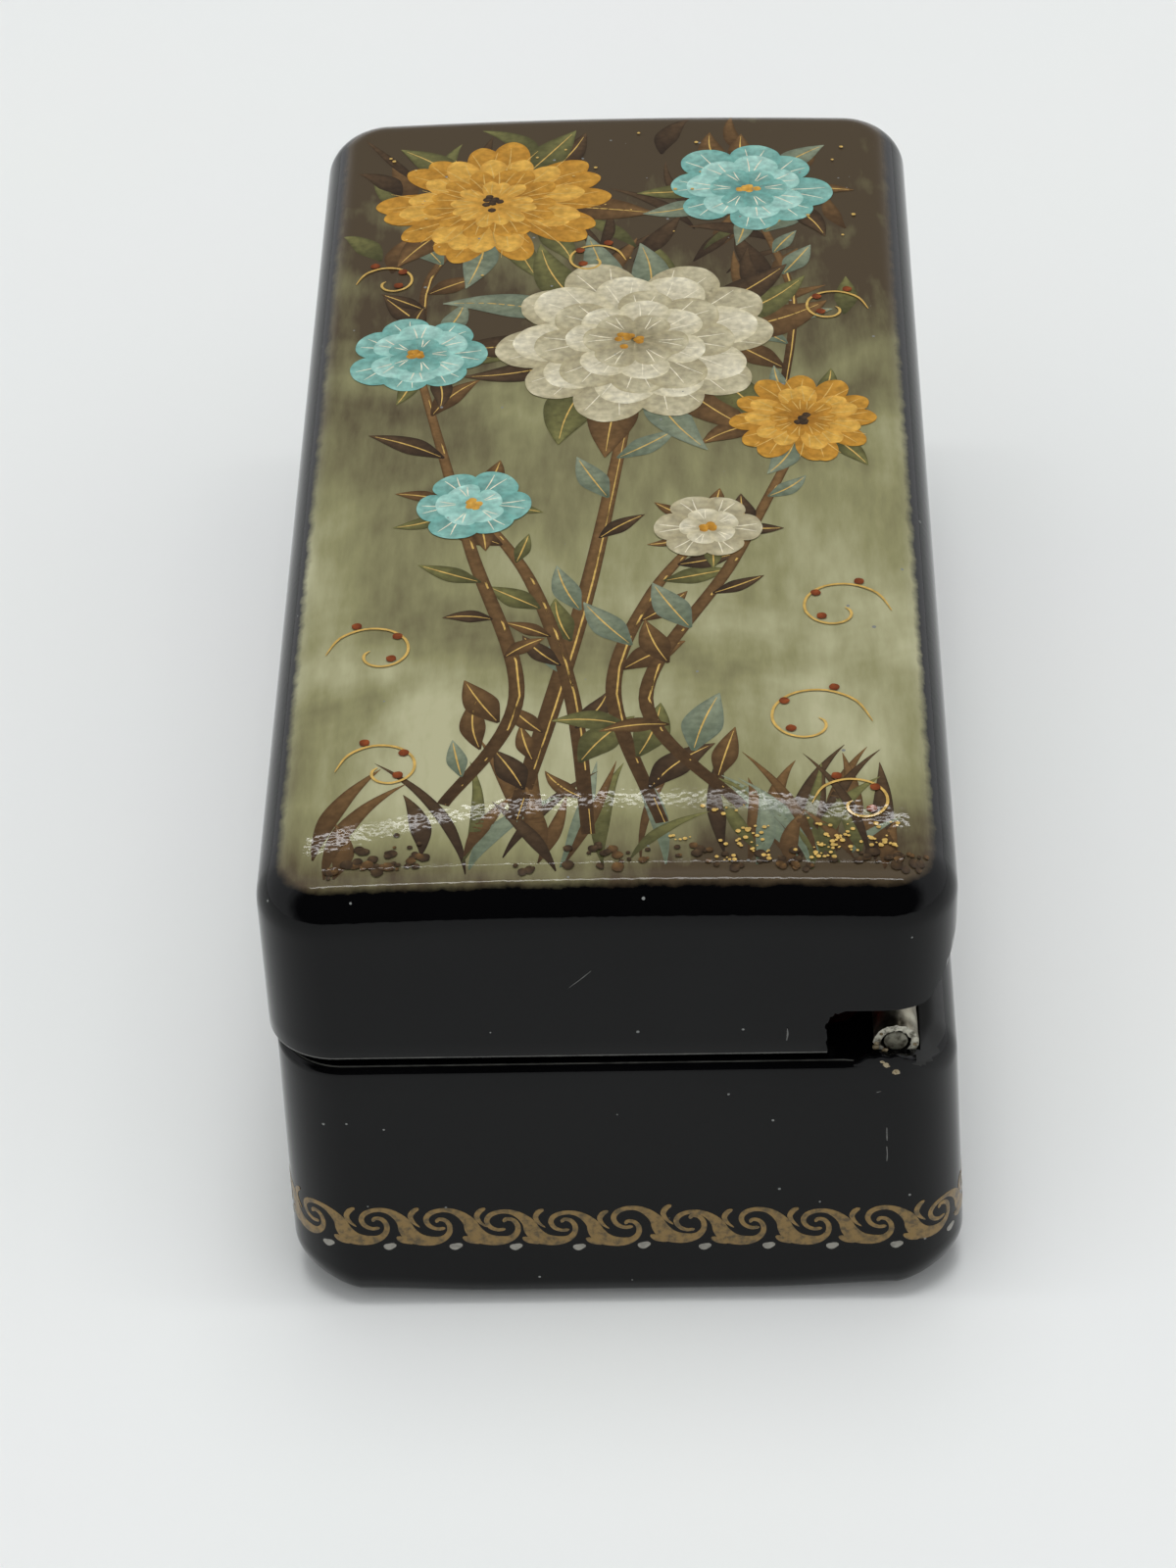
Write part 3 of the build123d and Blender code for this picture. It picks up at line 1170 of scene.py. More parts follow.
@dataclass
class TinHinge(Piece):
    """Knuckle hinge: tin strips folded round a wire pin, with their tails sunk in the walls."""

    tin: float = 0.45
    bore: float = 0.9
    leaf_gap: float = 0.06
    bend_radius: float = 0.25
    bend_steps: int = 6
    loop_steps: int = 40
    ragged: float = 0.06
    ragged_middle: float = 0.3
    ragged_seed: int = 5
    stations: int = 24
    pin_radius: float = 0.74
    pin_chamfer: float = 0.12
    pin_crown: Point2 = (0.03, 0.6)
    pin_steps: int = 40
    strip_softening: Point2 = (0.05, 60.0)
    pin_softening: Point2 = (0.06, 30.0)
    end_facing: float = 0.6

    def fold_section(self, reach: float) -> List[Point2]:
        """Section of a folded strip about the pin, with its tail upwards.

        Args:
            reach: distance from the pin to the end of the tail.

        Returns:
            Corners of the closed section.
        """
        half = self.tin / 2
        leaf = half + self.leaf_gap / 2
        turn = self.bore + half
        centre_x = leaf + self.bend_radius
        centre_z = math.sqrt((turn + self.bend_radius) ** 2 - centre_x ** 2)
        lean = math.degrees(math.atan2(centre_z, centre_x))

        def side(offset: float) -> List[Point2]:
            """One face of the strip, from the first tail end to the second.

            Args:
                offset: distance of the face from the middle of the strip.

            Returns:
                Its points.
            """
            bend_out = arc((-centre_x, centre_z), self.bend_radius - offset, 0, -lean, self.bend_steps)
            loop = arc((0.0, 0.0), turn + offset, 180 - lean, 360 + lean, self.loop_steps)
            bend_in = [(-x, z) for x, z in reversed(bend_out)]
            tail = leaf + offset
            return [(-tail, reach)] + bend_out + loop[1:-1] + bend_in + [(tail, reach)]

        return side(half) + side(-half)[::-1]

    def build(self) -> None:
        """Make the knuckles, in the order of the record, and the pin."""
        rng = random.Random(self.ragged_seed)
        bodies = frame["record"]["behaviour"]["bodies"]
        for body in Body:
            for node in bodies[body.value]:
                if "knuckle" in node:
                    self._knuckle(body, node, rng)
        self._pin()

    def _knuckle(self, body: Body, node: str, rng: random.Random) -> None:
        """Make one strip with ragged ends.

        Args:
            body: body that holds its tail.
            node: solid that it stands for.
            rng: source of the raggedness.
        """
        low, high = node_box(node)
        hinge_x, hinge_z = self.plan.hinge_x, self.plan.hinge_z
        reach, sign = (high.z - hinge_z, 1) if body is Body.LID else (hinge_z - low.z, -1)
        section = [(hinge_x + x, hinge_z + sign * z) for x, z in self.fold_section(reach)]
        stations = spread(low.y, high.y, self.stations)
        rough = [[rng.uniform(-1, 1) for _ in section] for _ in stations]

        def wander(i: int, k: int) -> Point2:
            """Shift of a corner: large at the ends, slight between them."""
            size = self.ragged * (1.0 if k in (0, self.stations) else self.ragged_middle)
            return (size * rough[k][i],) * 2

        strip = mesh_object(f"tin_{node}", along_y(section, stations, wander), Finish.TIN, Finish.CUT_TIN)
        soften(strip, *self.strip_softening)
        self._mark_ends(strip)
        settle(strip, body, Slot.TIN, node)

    def _mark_ends(self, obj: Object) -> None:
        """Give the faces that look along the hinge the piece's second finish.

        Args:
            obj: the piece.
        """
        for face in obj.data.polygons:
            if abs(face.normal.y) > self.end_facing:
                face.material_index = 1

    def _pin(self) -> None:
        """Make the wire pin with filed ends."""
        end = node_box("hinge_pin")[0].y
        inner = self.pin_radius - self.pin_chamfer
        rise, share = self.pin_crown
        profile = [(end, inner * share), (end + rise, inner), (end + self.pin_chamfer, self.pin_radius)]
        profile += [(-y, radius) for y, radius in reversed(profile)]
        mesh = RingMesh(capped=True)
        for y, radius in profile:
            mesh.ring((x, y, z) for x, z in self.plan.hinge_circle(radius, self.pin_steps))
        mesh.cap()
        pin = mesh_object("wire_pin", mesh.finish(), Finish.WIRE, Finish.FILED)
        soften(pin, *self.pin_softening)
        self._mark_ends(pin)
        settle(pin, Body.BASE, Slot.WIRE, "hinge_pin")


@dataclass
class ScrollBorder(Piece):
    """Running scroll with dots, painted round the foot of the base by a geometry-nodes tree.

    A unit is drawn in millimetres: along the border from its dot, up from the lower edge, and half
    the width of the brush line there.
    """

    level: float = 4.95
    middle: float = 6.5
    count: int = 65
    phase: float = 3.41
    wander: float = 0.09
    wander_ways: Point3 = (2.2, 0.0, 1.0)
    turn: Point3 = (0.0, 0.05, 0.0)
    least_size: Point3 = (0.95, 1.0, 0.95)
    most_size: Point3 = (1.03, 1.0, 1.05)
    tilt: float = -0.0125
    seed: int = 7
    edge_rise: float = 0.008
    crown_rise: float = 0.03
    layer: float = 0.004
    stroke_steps: int = 5
    end_reach: float = 0.6
    end_width: float = 0.35
    dot_size: Point2 = (0.37, 0.3)
    dot_steps: int = 14
    dot_waves: Tuple[Point3, ...] = ((2, 0.16, 0.6), (3, 0.1, 0.0))
    dot_rings: Tuple[Point2, ...] = ((1.0, 0.008), (0.6, 0.024))
    strokes: Tuple[Stroke, ...] = (
        ((-0.62, 1.55, 0.13), (-1.05, 1.5, 0.14), (-1.5, 1.77, 0.16), (-1.68, 2.29, 0.17),
         (-1.42, 2.78, 0.18), (-0.8, 3.05, 0.17), (-0.1, 3.0, 0.2), (0.5, 2.62, 0.3), (0.95, 2.02, 0.42),
         (1.15, 1.36, 0.52), (1.5, 0.82, 0.55), (2.1, 0.52, 0.45), (2.8, 0.46, 0.36), (3.4, 0.65, 0.24),
         (3.8, 1.14, 0.18), (3.85, 1.74, 0.17), (3.6, 2.18, 0.16), (3.2, 2.27, 0.14), (3.05, 2.07, 0.12)),
        ((0.55, 0.74, 0.16), (0.9, 0.55, 0.27), (1.5, 0.44, 0.28)),
        ((1.95, 1.64, 0.05), (1.6, 2.02, 0.12), (1.42, 2.51, 0.17), (1.62, 2.94, 0.18), (1.92, 3.16, 0.13)))

    KINDS = {"Outline": "Object", "Stamp": "Object", "Count": "Int", "Level": "Float", "Middle": "Float",
             "Phase": "Float", "Wander": "Float", "Seed": "Int", "Tilt": "Float", "Paint": "Material"}

    def build(self) -> None:
        """Paint the scroll and its dots, each by a run of the same tree."""
        outline, tree = self._outline(), self._tree()
        bands = (("scroll_border", self._unit(), Finish.GOLD), ("border_dots", self._dot(), Finish.PALE))
        for name, bm, paint in bands:
            stamp = mesh_object("stamp", bm, paint)
            border = mesh_object(name, bmesh.new(), paint)
            modifier = border.modifiers.new("band", "NODES")
            modifier.node_group = tree
            values = {"Outline": outline, "Stamp": stamp, "Count": self.count, "Level": self.level * MM,
                      "Middle": self.middle * MM, "Phase": self.phase * MM, "Wander": self.wander * MM,
                      "Seed": self.seed, "Tilt": self.tilt, "Paint": paint.material}
            for item in tree.interface.items_tree:
                if item.in_out == "INPUT":
                    modifier[item.identifier] = values[item.name]
            bake_modifiers(border)
            bpy.data.objects.remove(stamp)
            settle(border, Body.BASE, Slot.BLACK)
        bpy.data.objects.remove(outline)

    def _outline(self) -> Object:
        """Closed curve round the base at the middle of the border.

        Returns:
            The curve's object.
        """
        points = [self.plan.flared(p, self.middle) for p in self.plan.base_outline().points()]
        curve = bpy.data.curves.new("outline", "CURVE")
        curve.dimensions = "3D"
        spline = curve.splines.new("POLY")
        spline.points.add(len(points) - 1)
        for place, point in zip(spline.points, points):
            place.co = (point.x * MM, point.y * MM, 0.0, 1.0)
        spline.use_cyclic_u = True
        return link(bpy.data.objects.new("outline", curve))

    def _unit(self) -> Mesh:
        """One unit of the scroll: domed ribbons that face -Y.

        Returns:
            Its mesh.
        """
        bm = bmesh.new()
        sides = ((-1, self.edge_rise), (0, self.crown_rise), (1, self.edge_rise))
        for order, stroke in enumerate(self.strokes):
            path = smooth_path(stroke, self.stroke_steps)
            rows = []
            for i, ((u, w, half), along) in enumerate(zip(path, headings(path))):
                if i in (0, len(path) - 1):
                    u, w = Vector((u, w)) + along * half * (self.end_reach if i else -self.end_reach)
                    half *= self.end_width
                rows.append([bm.verts.new(Vector((u - along.y * half * side, -self.layer * order - rise,
                                                  w + along.x * half * side)) * MM) for side, rise in sides])
            bridge(bm, rows, flip=True)
        return bm

    def _dot(self) -> Mesh:
        """One dot: a domed, uneven blob that faces -Y.

        Returns:
            Its mesh.
        """
        mesh = RingMesh()
        for share, rise in self.dot_rings:
            ring = []
            for angle in spread(0.0, 2 * math.pi, self.dot_steps)[:-1]:
                size = share * (1 + sum(depth * math.sin(count * angle + shift)
                                        for count, depth, shift in self.dot_waves))
                ring.append((self.dot_size[0] * size * math.cos(angle), -rise,
                             self.dot_size[1] * size * math.sin(angle)))
            mesh.ring(ring)
        mesh.cap()
        return mesh.bm

    def _tree(self) -> bpy.types.NodeTree:
        """Tree that sets copies of a stamp along the outline and bends them to it.

        Returns:
            The tree.
        """
        tree = bpy.data.node_groups.new("painted_band", "GeometryNodeTree")
        for name, kind in self.KINDS.items():
            tree.interface.new_socket(name, in_out="INPUT", socket_type=f"NodeSocket{kind}")
        tree.interface.new_socket("Geometry", in_out="OUTPUT", socket_type="NodeSocketGeometry")
        nodes = Nodes(tree)
        given = nodes.node("NodeGroupInput").outputs

        def drawn(low: object, high: object) -> Socket:
            """Random vector between two others for each copy."""
            return nodes.add("FunctionNodeRandomValue", {0: low, 1: high, "Seed": given["Seed"]},
                             data_type="FLOAT_VECTOR")

        curve, stamp = (nodes.add("GeometryNodeObjectInfo", {"Object": given[name]}, "Geometry")
                        for name in ("Outline", "Stamp"))
        length = nodes.add("GeometryNodeCurveLength", {0: curve})
        step, start = (nodes.add("ShaderNodeCombineXYZ", {0: along})
                       for along in (nodes.calc("DIVIDE", length, given["Count"]), given["Phase"]))
        line = nodes.add("GeometryNodeMeshLine",
                         {"Count": given["Count"], "Offset": step, "Start Location": start})
        ways = Vector(self.wander_ways)
        low, high = (nodes.vector("SCALE", {0: way, "Scale": given["Wander"]}) for way in (-ways, ways))
        points = nodes.add("GeometryNodeSetPosition", {0: line, "Offset": drawn(low, high)})
        copies = nodes.add("GeometryNodeInstanceOnPoints",
                           {"Points": points, "Instance": stamp,
                            "Rotation": drawn(-Vector(self.turn), self.turn),
                            "Scale": drawn(self.least_size, self.most_size)})
        flat = nodes.add("GeometryNodeRealizeInstances", {0: copies})
        bent = self._bend(nodes, given, curve, length)
        band = nodes.add("GeometryNodeSetPosition", {0: flat, "Position": bent})
        painted = nodes.add("GeometryNodeSetMaterial", {0: band, "Material": given["Paint"]})
        nodes.node("NodeGroupOutput", {0: painted})
        return tree

    def _bend(self, nodes: Nodes, given: Sequence[Socket], curve: Socket, length: Socket) -> Socket:
        """Place on the wall of a point of the flat border.

        Args:
            nodes: builder of the tree.
            given: inputs of the tree.
            curve: outline of the base.
            length: its length.

        Returns:
            The socket with the place.
        """
        flat = nodes.axes(nodes.add("GeometryNodeInputPosition"))
        way = nodes.calc("FLOORED_MODULO", flat["X"], length)
        sample = nodes.node("GeometryNodeSampleCurve", {"Curves": curve, "Length": way},
                            mode="LENGTH").outputs
        inward = nodes.vector("CROSS_PRODUCT", {0: (0.0, 0.0, 1.0), 1: sample["Tangent"]})
        proud = nodes.vector("SCALE", {0: inward, "Scale": flat["Y"]})
        across = nodes.axes(sample["Position"])["X"]
        foot = nodes.calc("MULTIPLY_ADD", across, given["Tilt"], given["Level"])
        level = nodes.calc("ADD", flat["Z"], foot)
        core = (self.plan.base_half[0] - self.plan.base_corner) * MM
        hinge_side = nodes.remap(across, (-core, core), (0.0, self.plan.flare))
        lean = nodes.calc("MULTIPLY", nodes.calc("SUBTRACT", given["Middle"], level), hinge_side)
        rise = nodes.add("ShaderNodeCombineXYZ", {"X": lean, "Z": level})
        return nodes.vector("ADD", {0: nodes.vector("ADD", {0: sample["Position"], 1: proud}), 1: rise})


@dataclass
class FillerLip(Piece):
    """Lacquered filler that closes the ends of the hinge groove, before the lower part of the tube."""

    span: Point2 = (14.7, 18.5)
    shoulder: float = 1.2
    rise: float = 0.5
    wave: Point2 = (0.12, 7.0)
    sunk: float = 0.25
    proud: float = 0.015
    edge: Tuple[Point2, ...] = ((0.0, 0.1), (0.04, 0.03), (0.14, 0.0), (0.5, 0.05))
    steps: int = 40

    def build(self) -> None:
        """Make the lips at both ends."""
        for name, way in (("near", -1), ("far", 1)):
            mesh = RingMesh(capped=True)
            for x in spread(*self.span, self.steps):
                mesh.ring((x, way * y, z) for y, z in self._section(x))
            mesh.cap()
            lip = mesh_object(f"filler_lip_{name}", mesh.finish(), Finish.BLACK)
            settle(lip, Body.BASE, Slot.BLACK, angle=BLUNT_ANGLE)

    def _section(self, x: float) -> List[Point2]:
        """Section across the end wall at a place along it, from the outside of the wall inwards.

        Args:
            x: the place.

        Returns:
            Corners of the section.
        """
        plan = self.plan
        inward = min(x - self.span[0], self.span[1] - x)
        uneven = 1 + self.wave[0] * math.sin(self.wave[1] * x)
        top = plan.rim_z + self.rise * smoothstep(0.0, self.shoulder, inward) * uneven
        past = max(x - (plan.base_half[0] + plan.rear_proud - plan.base_corner), 0.0)
        bow = math.sqrt(plan.base_corner ** 2 - past ** 2)
        outer = plan.base_half[1] + self.proud - plan.base_corner + bow
        low = plan.rim_z - self.sunk
        crest = [(outer - inset, top - drop) for inset, drop in self.edge]
        return [(outer, low), *crest, (crest[-1][0], low)]


@dataclass
class GlueCrumbs(Piece):
    """Crumbs of old glue and dirt round the near end of the hinge tube.

    Each crumb has a place from the pin, in millimetres: across, in from the end wall, up, and a radius.
    """

    seed: int = 3
    wide: Point2 = (0.9, 1.4)
    deep: float = 0.6
    high: Point2 = (0.7, 1.1)
    lumps: Point2 = (0.75, 1.2)
    crumbs: Tuple[Tuple[float, float, float, float], ...] = (
        (-1.22, 1.2, -0.3, 0.2), (-0.9, 1.24, 0.72, 0.1), (-1.2, 1.1, 0.1, 0.16), (1.14, 1.2, -0.1, 0.12),
        (-0.82, 0.07, -0.42, 0.2), (-0.6, 0.07, -0.66, 0.25), (-0.95, 0.09, -0.6, 0.16),
        (-0.05, 0.05, -1.3, 0.2), (-0.06, 0.06, -1.15, 0.15), (-0.7, 0.7, -0.1, 0.18))

    def build(self) -> None:
        """Make the crumbs."""
        draw = random.Random(self.seed).uniform
        pin = Vector((self.plan.hinge_x, -self.plan.base_half[1], self.plan.hinge_z))
        bm = bmesh.new()
        for *place, size in self.crumbs:
            stretch = Vector((draw(*self.wide), self.deep, draw(*self.high)))
            for vert in bmesh.ops.create_icosphere(bm, subdivisions=2, radius=size * MM)["verts"]:
                vert.co = vert.co * stretch * draw(*self.lumps) + (pin + Vector(place)) * MM
        settle(mesh_object("glue_crumbs", bm, Finish.GLUE), Body.BASE, Slot.BLACK, angle=BLUNT_ANGLE)


@dataclass
class Marks(Piece):
    """Fine scratches and dust on the near end, as thin pale strokes in the plane of the wall."""

    lift: float = 0.006
    lid_inset: float = 0.03
    stroke_steps: int = 4
    on_lid: Tuple[Stroke, ...] = (((-2.3, 26.45, 0.015), (-1.5, 27.2, 0.04), (-0.75, 27.95, 0.015)),
                                  ((10.66, 22.0, 0.03), (10.72, 22.5, 0.05), (10.7, 22.95, 0.02)))
    on_base: Tuple[Stroke, ...] = (((16.78, 11.9, 0.04), (16.8, 12.5, 0.03), (16.76, 13.1, 0.03)),
                                   ((16.78, 13.6, 0.02), (16.76, 14.2, 0.05), (16.75, 14.7, 0.02)),
                                   ((16.12, 17.58, 0.03), (16.25, 17.66, 0.08), (16.38, 17.7, 0.03)))

    def build(self) -> None:
        """Make the marks of the lid and of the base."""
        for body, strokes, wall in ((Body.LID, self.on_lid, self.plan.lid_half[1] - self.lid_inset),
                                    (Body.BASE, self.on_base, self.plan.base_half[1])):
            bm = bmesh.new()
            for stroke in strokes:
                rows = []
                for x, z, half in smooth_path(stroke, self.stroke_steps):
                    places = [Vector((x + side, -wall - self.lift, z)) for side in (-half, half)]
                    rows.append([bm.verts.new(place * MM) for place in places])
                bridge(bm, rows)
            settle(mesh_object(f"{body.value}_marks", bm, Finish.SCRATCH), body, Slot.BLACK, angle=None)


@dataclass(frozen=True)
class Tone:
    """Colours of a brush stroke: at its root, at its tip and towards its edges."""

    root: str
    tip: str
    edge: str
    edge_share: float = 0.8

    def at(self, along: float, across: float) -> Tuple[float, ...]:
        """Linear colour at a share of the length and, from -1 to 1, of the width."""
        root, tip, edge = (Vector(linear(name)) for name in (self.root, self.tip, self.edge))
        return tuple(root.lerp(tip, along).lerp(edge, across ** 4 * self.edge_share))


class Palette(Enum):
    """Tones of the lid's design."""

    CREAM = Tone("#9d9170", "#e6dfc6", "#c9bf9d")
    CREAM_SHADE = Tone("#7d7254", "#cfc6a6", "#a99e7c")
    CREAM_LINE = Tone("#b8ae8c", "#f2ecd8", "#e4dcc2")
    OCHRE = Tone("#8a5a1c", "#cf9a3c", "#b17c2a")
    OCHRE_LIGHT = Tone("#b5822f", "#e0b255", "#c7933f")
    AQUA = Tone("#4f7f78", "#93c2b6", "#6fa79d")
    AQUA_LIGHT = Tone("#79aca2", "#b5d8cc", "#93c2b6")
    UMBER = Tone("#2c2118", "#5a4630", "#33281c")
    BROWN = Tone("#3a2a1b", "#7a5c38", "#4b3722")
    OLIVE = Tone("#3d3c24", "#7a7748", "#4d4b2d")
    GREY_GREEN = Tone("#55604c", "#8b927a", "#687160")
    GOLD = Tone("#b8924a", "#d9b96e", "#c9a55a")
    RUST = Tone("#5e2a16", "#9a5128", "#6f3519")


Tones = Tuple[Palette, ...]
AQUAS: Tones = (Palette.AQUA, Palette.AQUA_LIGHT, Palette.CREAM_LINE)
OCHRES: Tones = (Palette.OCHRE, Palette.OCHRE_LIGHT, Palette.GOLD)
CREAMS: Tones = (Palette.CREAM_SHADE, Palette.CREAM, Palette.CREAM_LINE)

Profile = Tuple[Point2, ...]
PETAL: Profile = ((0.0, 0.16), (0.2, 0.5), (0.45, 0.86), (0.7, 1.0), (0.88, 0.78), (0.97, 0.4), (1.0, 0.08))
LEAF: Profile = ((0.0, 0.1), (0.15, 0.5), (0.35, 0.95), (0.5, 1.0), (0.7, 0.72), (0.88, 0.32), (1.0, 0.03))
BLOT: Profile = ((-1.0, 0.1), (-0.6, 0.75), (0.0, 1.0), (0.6, 0.75), (1.0, 0.1))


@dataclass(frozen=True)
class Bloom:
    """Flower head: place, radius, petals of its outer ring, rings, tones of petals and lines, and heart."""

    place: Point2
    radius: float
    petals: int
    rings: int
    tones: Tones
    heart: Palette


@dataclass(frozen=True)
class Bed:
    """Dim leaves: their number, and the ranges of their places, headings, lengths and widths."""

    count: int
    x: Point2
    y: Point2
    heading: Point2
    length: Point2
    width: Point2
    tones: Tones


@dataclass(frozen=True)
class Spatter:
    """Touches along the near edge: clusters, their range and depth, and touches, scatter and sizes."""

    clusters: int
    x: Point2
    depth: float
    touches: int
    scatter: Point2
    size: Point2
    tones: Tones


def polar(root: Point2, angle: float, distance: float) -> Point2:
    """Point at a distance from another, in a direction in radians."""
    return (root[0] + distance * math.cos(angle), root[1] + distance * math.sin(angle))


def spine(root: Point2, angle: float, length: float, bend: float, shares: Iterable[float]) -> List[Point2]:
    """Points at shares of the length of a line that bends from its first direction, in radians."""
    return [polar(root, angle + bend * share, length * share) for share in shares]


@dataclass
class LidPainting(Piece):
    """Spray of flowers painted over the ground of the lid in flat, overlapping strokes."""

    limits: Point2 = (19.3, 43.4)
    leaf_limits: Point2 = (18.2, 42.6)
    near_edge: float = -43.0
    first_lift: float = 0.012
    layer_lift: float = 0.00008
    seed: int = 23
    blade_bend: Point2 = (-0.5, 0.5)
    stem_steps: int = 14
    stem_line: float = 0.06
    stem_line_aside: float = 0.4
    leaf_shares: Point3 = (0.25, 0.5, 0.75)
    leaf_spread: Point2 = (0.5, 1.0)
    leaf_length: Point2 = (3.0, 6.0)
    leaf_width: Point2 = (0.3, 0.44)
    leaf_bend: Point2 = (-0.35, 0.35)
    vein: float = 0.05
    vein_shares: Tuple[float, ...] = (0.05, 0.35, 0.65, 0.92)
    wreath_density: float = 1.5
    wreath_root: float = 0.55
    wreath_reach: Point2 = (0.75, 1.0)
    wreath_turn: Point2 = (-0.25, 0.25)
    ring_shrink: float = 0.82
    least_petals: int = 4
    petal_turn: Point2 = (-0.12, 0.12)
    petal_length: Point2 = (0.9, 1.04)
    petal_root: float = 0.08
    petal_width: float = 0.86
    petal_bend: Point2 = (-0.15, 0.15)
    petal_line: float = 0.045
    petal_line_turns: Point2 = (-0.16, 0.16)
    petal_line_shares: Point3 = (0.4, 0.65, 0.9)
    heart_share: float = 0.14
    heart_dots: int = 9
    heart_dot: float = 0.3
    curl_line: float = 0.09
    curl_steps: int = 12
    curl_turn: float = 0.62
    berry: float = 0.34
    berry_shift: Point2 = (0.5, 0.35)
    dust_count: int = 30
    dust_field: Tuple[Point2, Point2] = ((-17.0, 17.0), (20.0, 41.0))
    dust_size: Point2 = (0.07, 0.16)
    far_bed: Bed = Bed(46, (-17.5, 17.5), (16.0, 38.0), (0.6, 2.5), (4.0, 8.5), (0.7, 1.8),
                       (Palette.UMBER, Palette.UMBER, Palette.OLIVE, Palette.BROWN))
    near_bed: Bed = Bed(52, (-18.3, 18.3), (-42.9, -41.0), (1.1, 2.05), (4.0, 13.0), (0.5, 1.3),
                        (Palette.UMBER, Palette.BROWN, Palette.BROWN, Palette.OLIVE, Palette.GREY_GREEN))
    stem_tones: Tones = (Palette.OLIVE, Palette.GREY_GREEN, Palette.BROWN, Palette.UMBER)
    wreath_tones: Tones = (Palette.UMBER, Palette.OLIVE, Palette.GREY_GREEN, Palette.BROWN)
    spatters: Tuple[Spatter, ...] = (
        Spatter(34, (-18.6, 18.6), 1.3, 4, (0.7, 0.5), (0.12, 0.4),
                (Palette.UMBER, Palette.UMBER, Palette.BROWN)),
        Spatter(20, (4.0, 18.0), 2.6, 6, (0.5, 0.4), (0.06, 0.17), (Palette.GOLD,)))
    blooms: Tuple[Bloom, ...] = (
        Bloom((-8.6, 31.5), 7.6, 15, 4, OCHRES, Palette.UMBER),
        Bloom((9.5, 33.0), 5.6, 8, 3, AQUAS, Palette.OCHRE_LIGHT),
        Bloom((-13.2, 12.5), 4.6, 7, 3, AQUAS, Palette.OCHRE),
        Bloom((12.8, 4.0), 4.9, 12, 3, OCHRES, Palette.UMBER),
        Bloom((1.6, 13.5), 9.4, 10, 5, CREAMS, Palette.OCHRE),
        Bloom((-9.0, -5.5), 3.6, 6, 2, AQUAS, Palette.OCHRE_LIGHT),
        Bloom((6.4, -8.5), 3.2, 6, 2, CREAMS, Palette.OCHRE))
    stems: Tuple[Stroke, ...] = (
        ((-5.5, -38.0, 0.5), (-3.4, -27.0, 0.62), (-1.2, -14.0, 0.55), (1.0, 4.0, 0.4)),
        ((-1.0, -39.5, 0.42), (-2.2, -26.0, 0.5), (-5.0, -14.0, 0.42), (-8.8, -6.0, 0.3)),
        ((3.4, -38.5, 0.4), (0.4, -26.0, 0.5), (2.6, -16.0, 0.42), (6.2, -9.0, 0.28)),
        ((-9.8, -36.5, 0.4), (-5.6, -26.0, 0.5), (-9.0, -10.0, 0.42), (-13.0, 10.0, 0.28)),
        ((8.2, -37.0, 0.4), (2.4, -26.5, 0.46), (8.0, -12.0, 0.4), (12.6, 2.0, 0.28)),
        ((-13.0, 14.0, 0.3), (-12.8, 22.0, 0.3), (-9.4, 29.0, 0.26)),
        ((11.5, 7.0, 0.3), (12.4, 19.0, 0.3), (10.0, 30.0, 0.26)))
    curls: Tuple[Tuple[float, float, float, int], ...] = (
        (14.5, -14.0, 3.4, 1), (-14.5, -18.0, 3.2, -1), (12.5, -25.0, 3.8, 1), (-13.5, -30.0, 3.0, -1),
        (15.0, 20.0, 2.6, 1), (-15.5, 24.0, 2.4, -1), (15.2, -34.0, 2.8, -1), (-1.5, 26.0, 2.4, 1))

    def __post_init__(self) -> None:
        """Start an empty painting."""
        self.lid = LidShell(self.plan)
        self.rng = random.Random(self.seed)
        self.bm = bmesh.new()
        self.tint = self.bm.verts.layers.float_color.new("Tint")
        self.strokes = 0

    def build(self) -> None:
        """Paint the design from the back to the front."""
        self._thicket()
        self._stems()
        for bloom in self.blooms:
            self._wreath(bloom)
        for bloom in self.blooms:
            self._bloom(bloom)
        self._tendrils()
        self._speckles()
        settle(mesh_object("lid_painting", self.bm, Finish.STROKES), Body.LID, Slot.PAINTED)
        LOG.info("%d strokes on the lid", self.strokes)

    def ribbon(self, path: Sequence[Point3], tone: Palette, columns: int = 4, steps: int = 4) -> None:
        """Lay one stroke, unless it would leave the picture field.

        Args:
            path: points of the stroke in the plan, each with half its width, in millimetres.
            tone: its colours.
            columns: faces across.
            steps: faces between two points of the path.
        """
        line = smooth_path(path, steps)
        if any(abs(x) + half > self.limits[0] or abs(y) + half > self.limits[1] for x, y, half in line):
            return
        lift = self.first_lift + self.layer_lift * self.strokes
        self.strokes += 1
        rows = []
        for i, ((x, y, half), along) in enumerate(zip(line, headings(line))):
            rows.append([])
            for side in spread(-1.0, 1.0, columns):
                px, py = x - along.y * half * side, y + along.x * half * side
                vert = self.bm.verts.new(Vector((px, py, self.lid.top_z(px, py) + lift)) * MM)
                vert[self.tint] = tone.value.at(i / (len(line) - 1), side)
                rows[-1].append(vert)
        bridge(self.bm, rows)

    def frond(self, root: Point2, angle: float, length: float, width: float, tone: Palette, profile: Profile,
              bend: float) -> None:
        """Lay a petal or a leaf.

        Args:
            root: its lower end.
            angle: direction at the root, in radians.
            length: its length.
            width: its largest width.
            tone: its colours.
            profile: share of the width at each share of the length.
            bend: turn from root to tip, in radians.
        """
        shares, sizes = zip(*profile)
        places = spine(root, angle, length, bend, shares)
        self.ribbon([(*place, width / 2 * size) for place, size in zip(places, sizes)], tone)

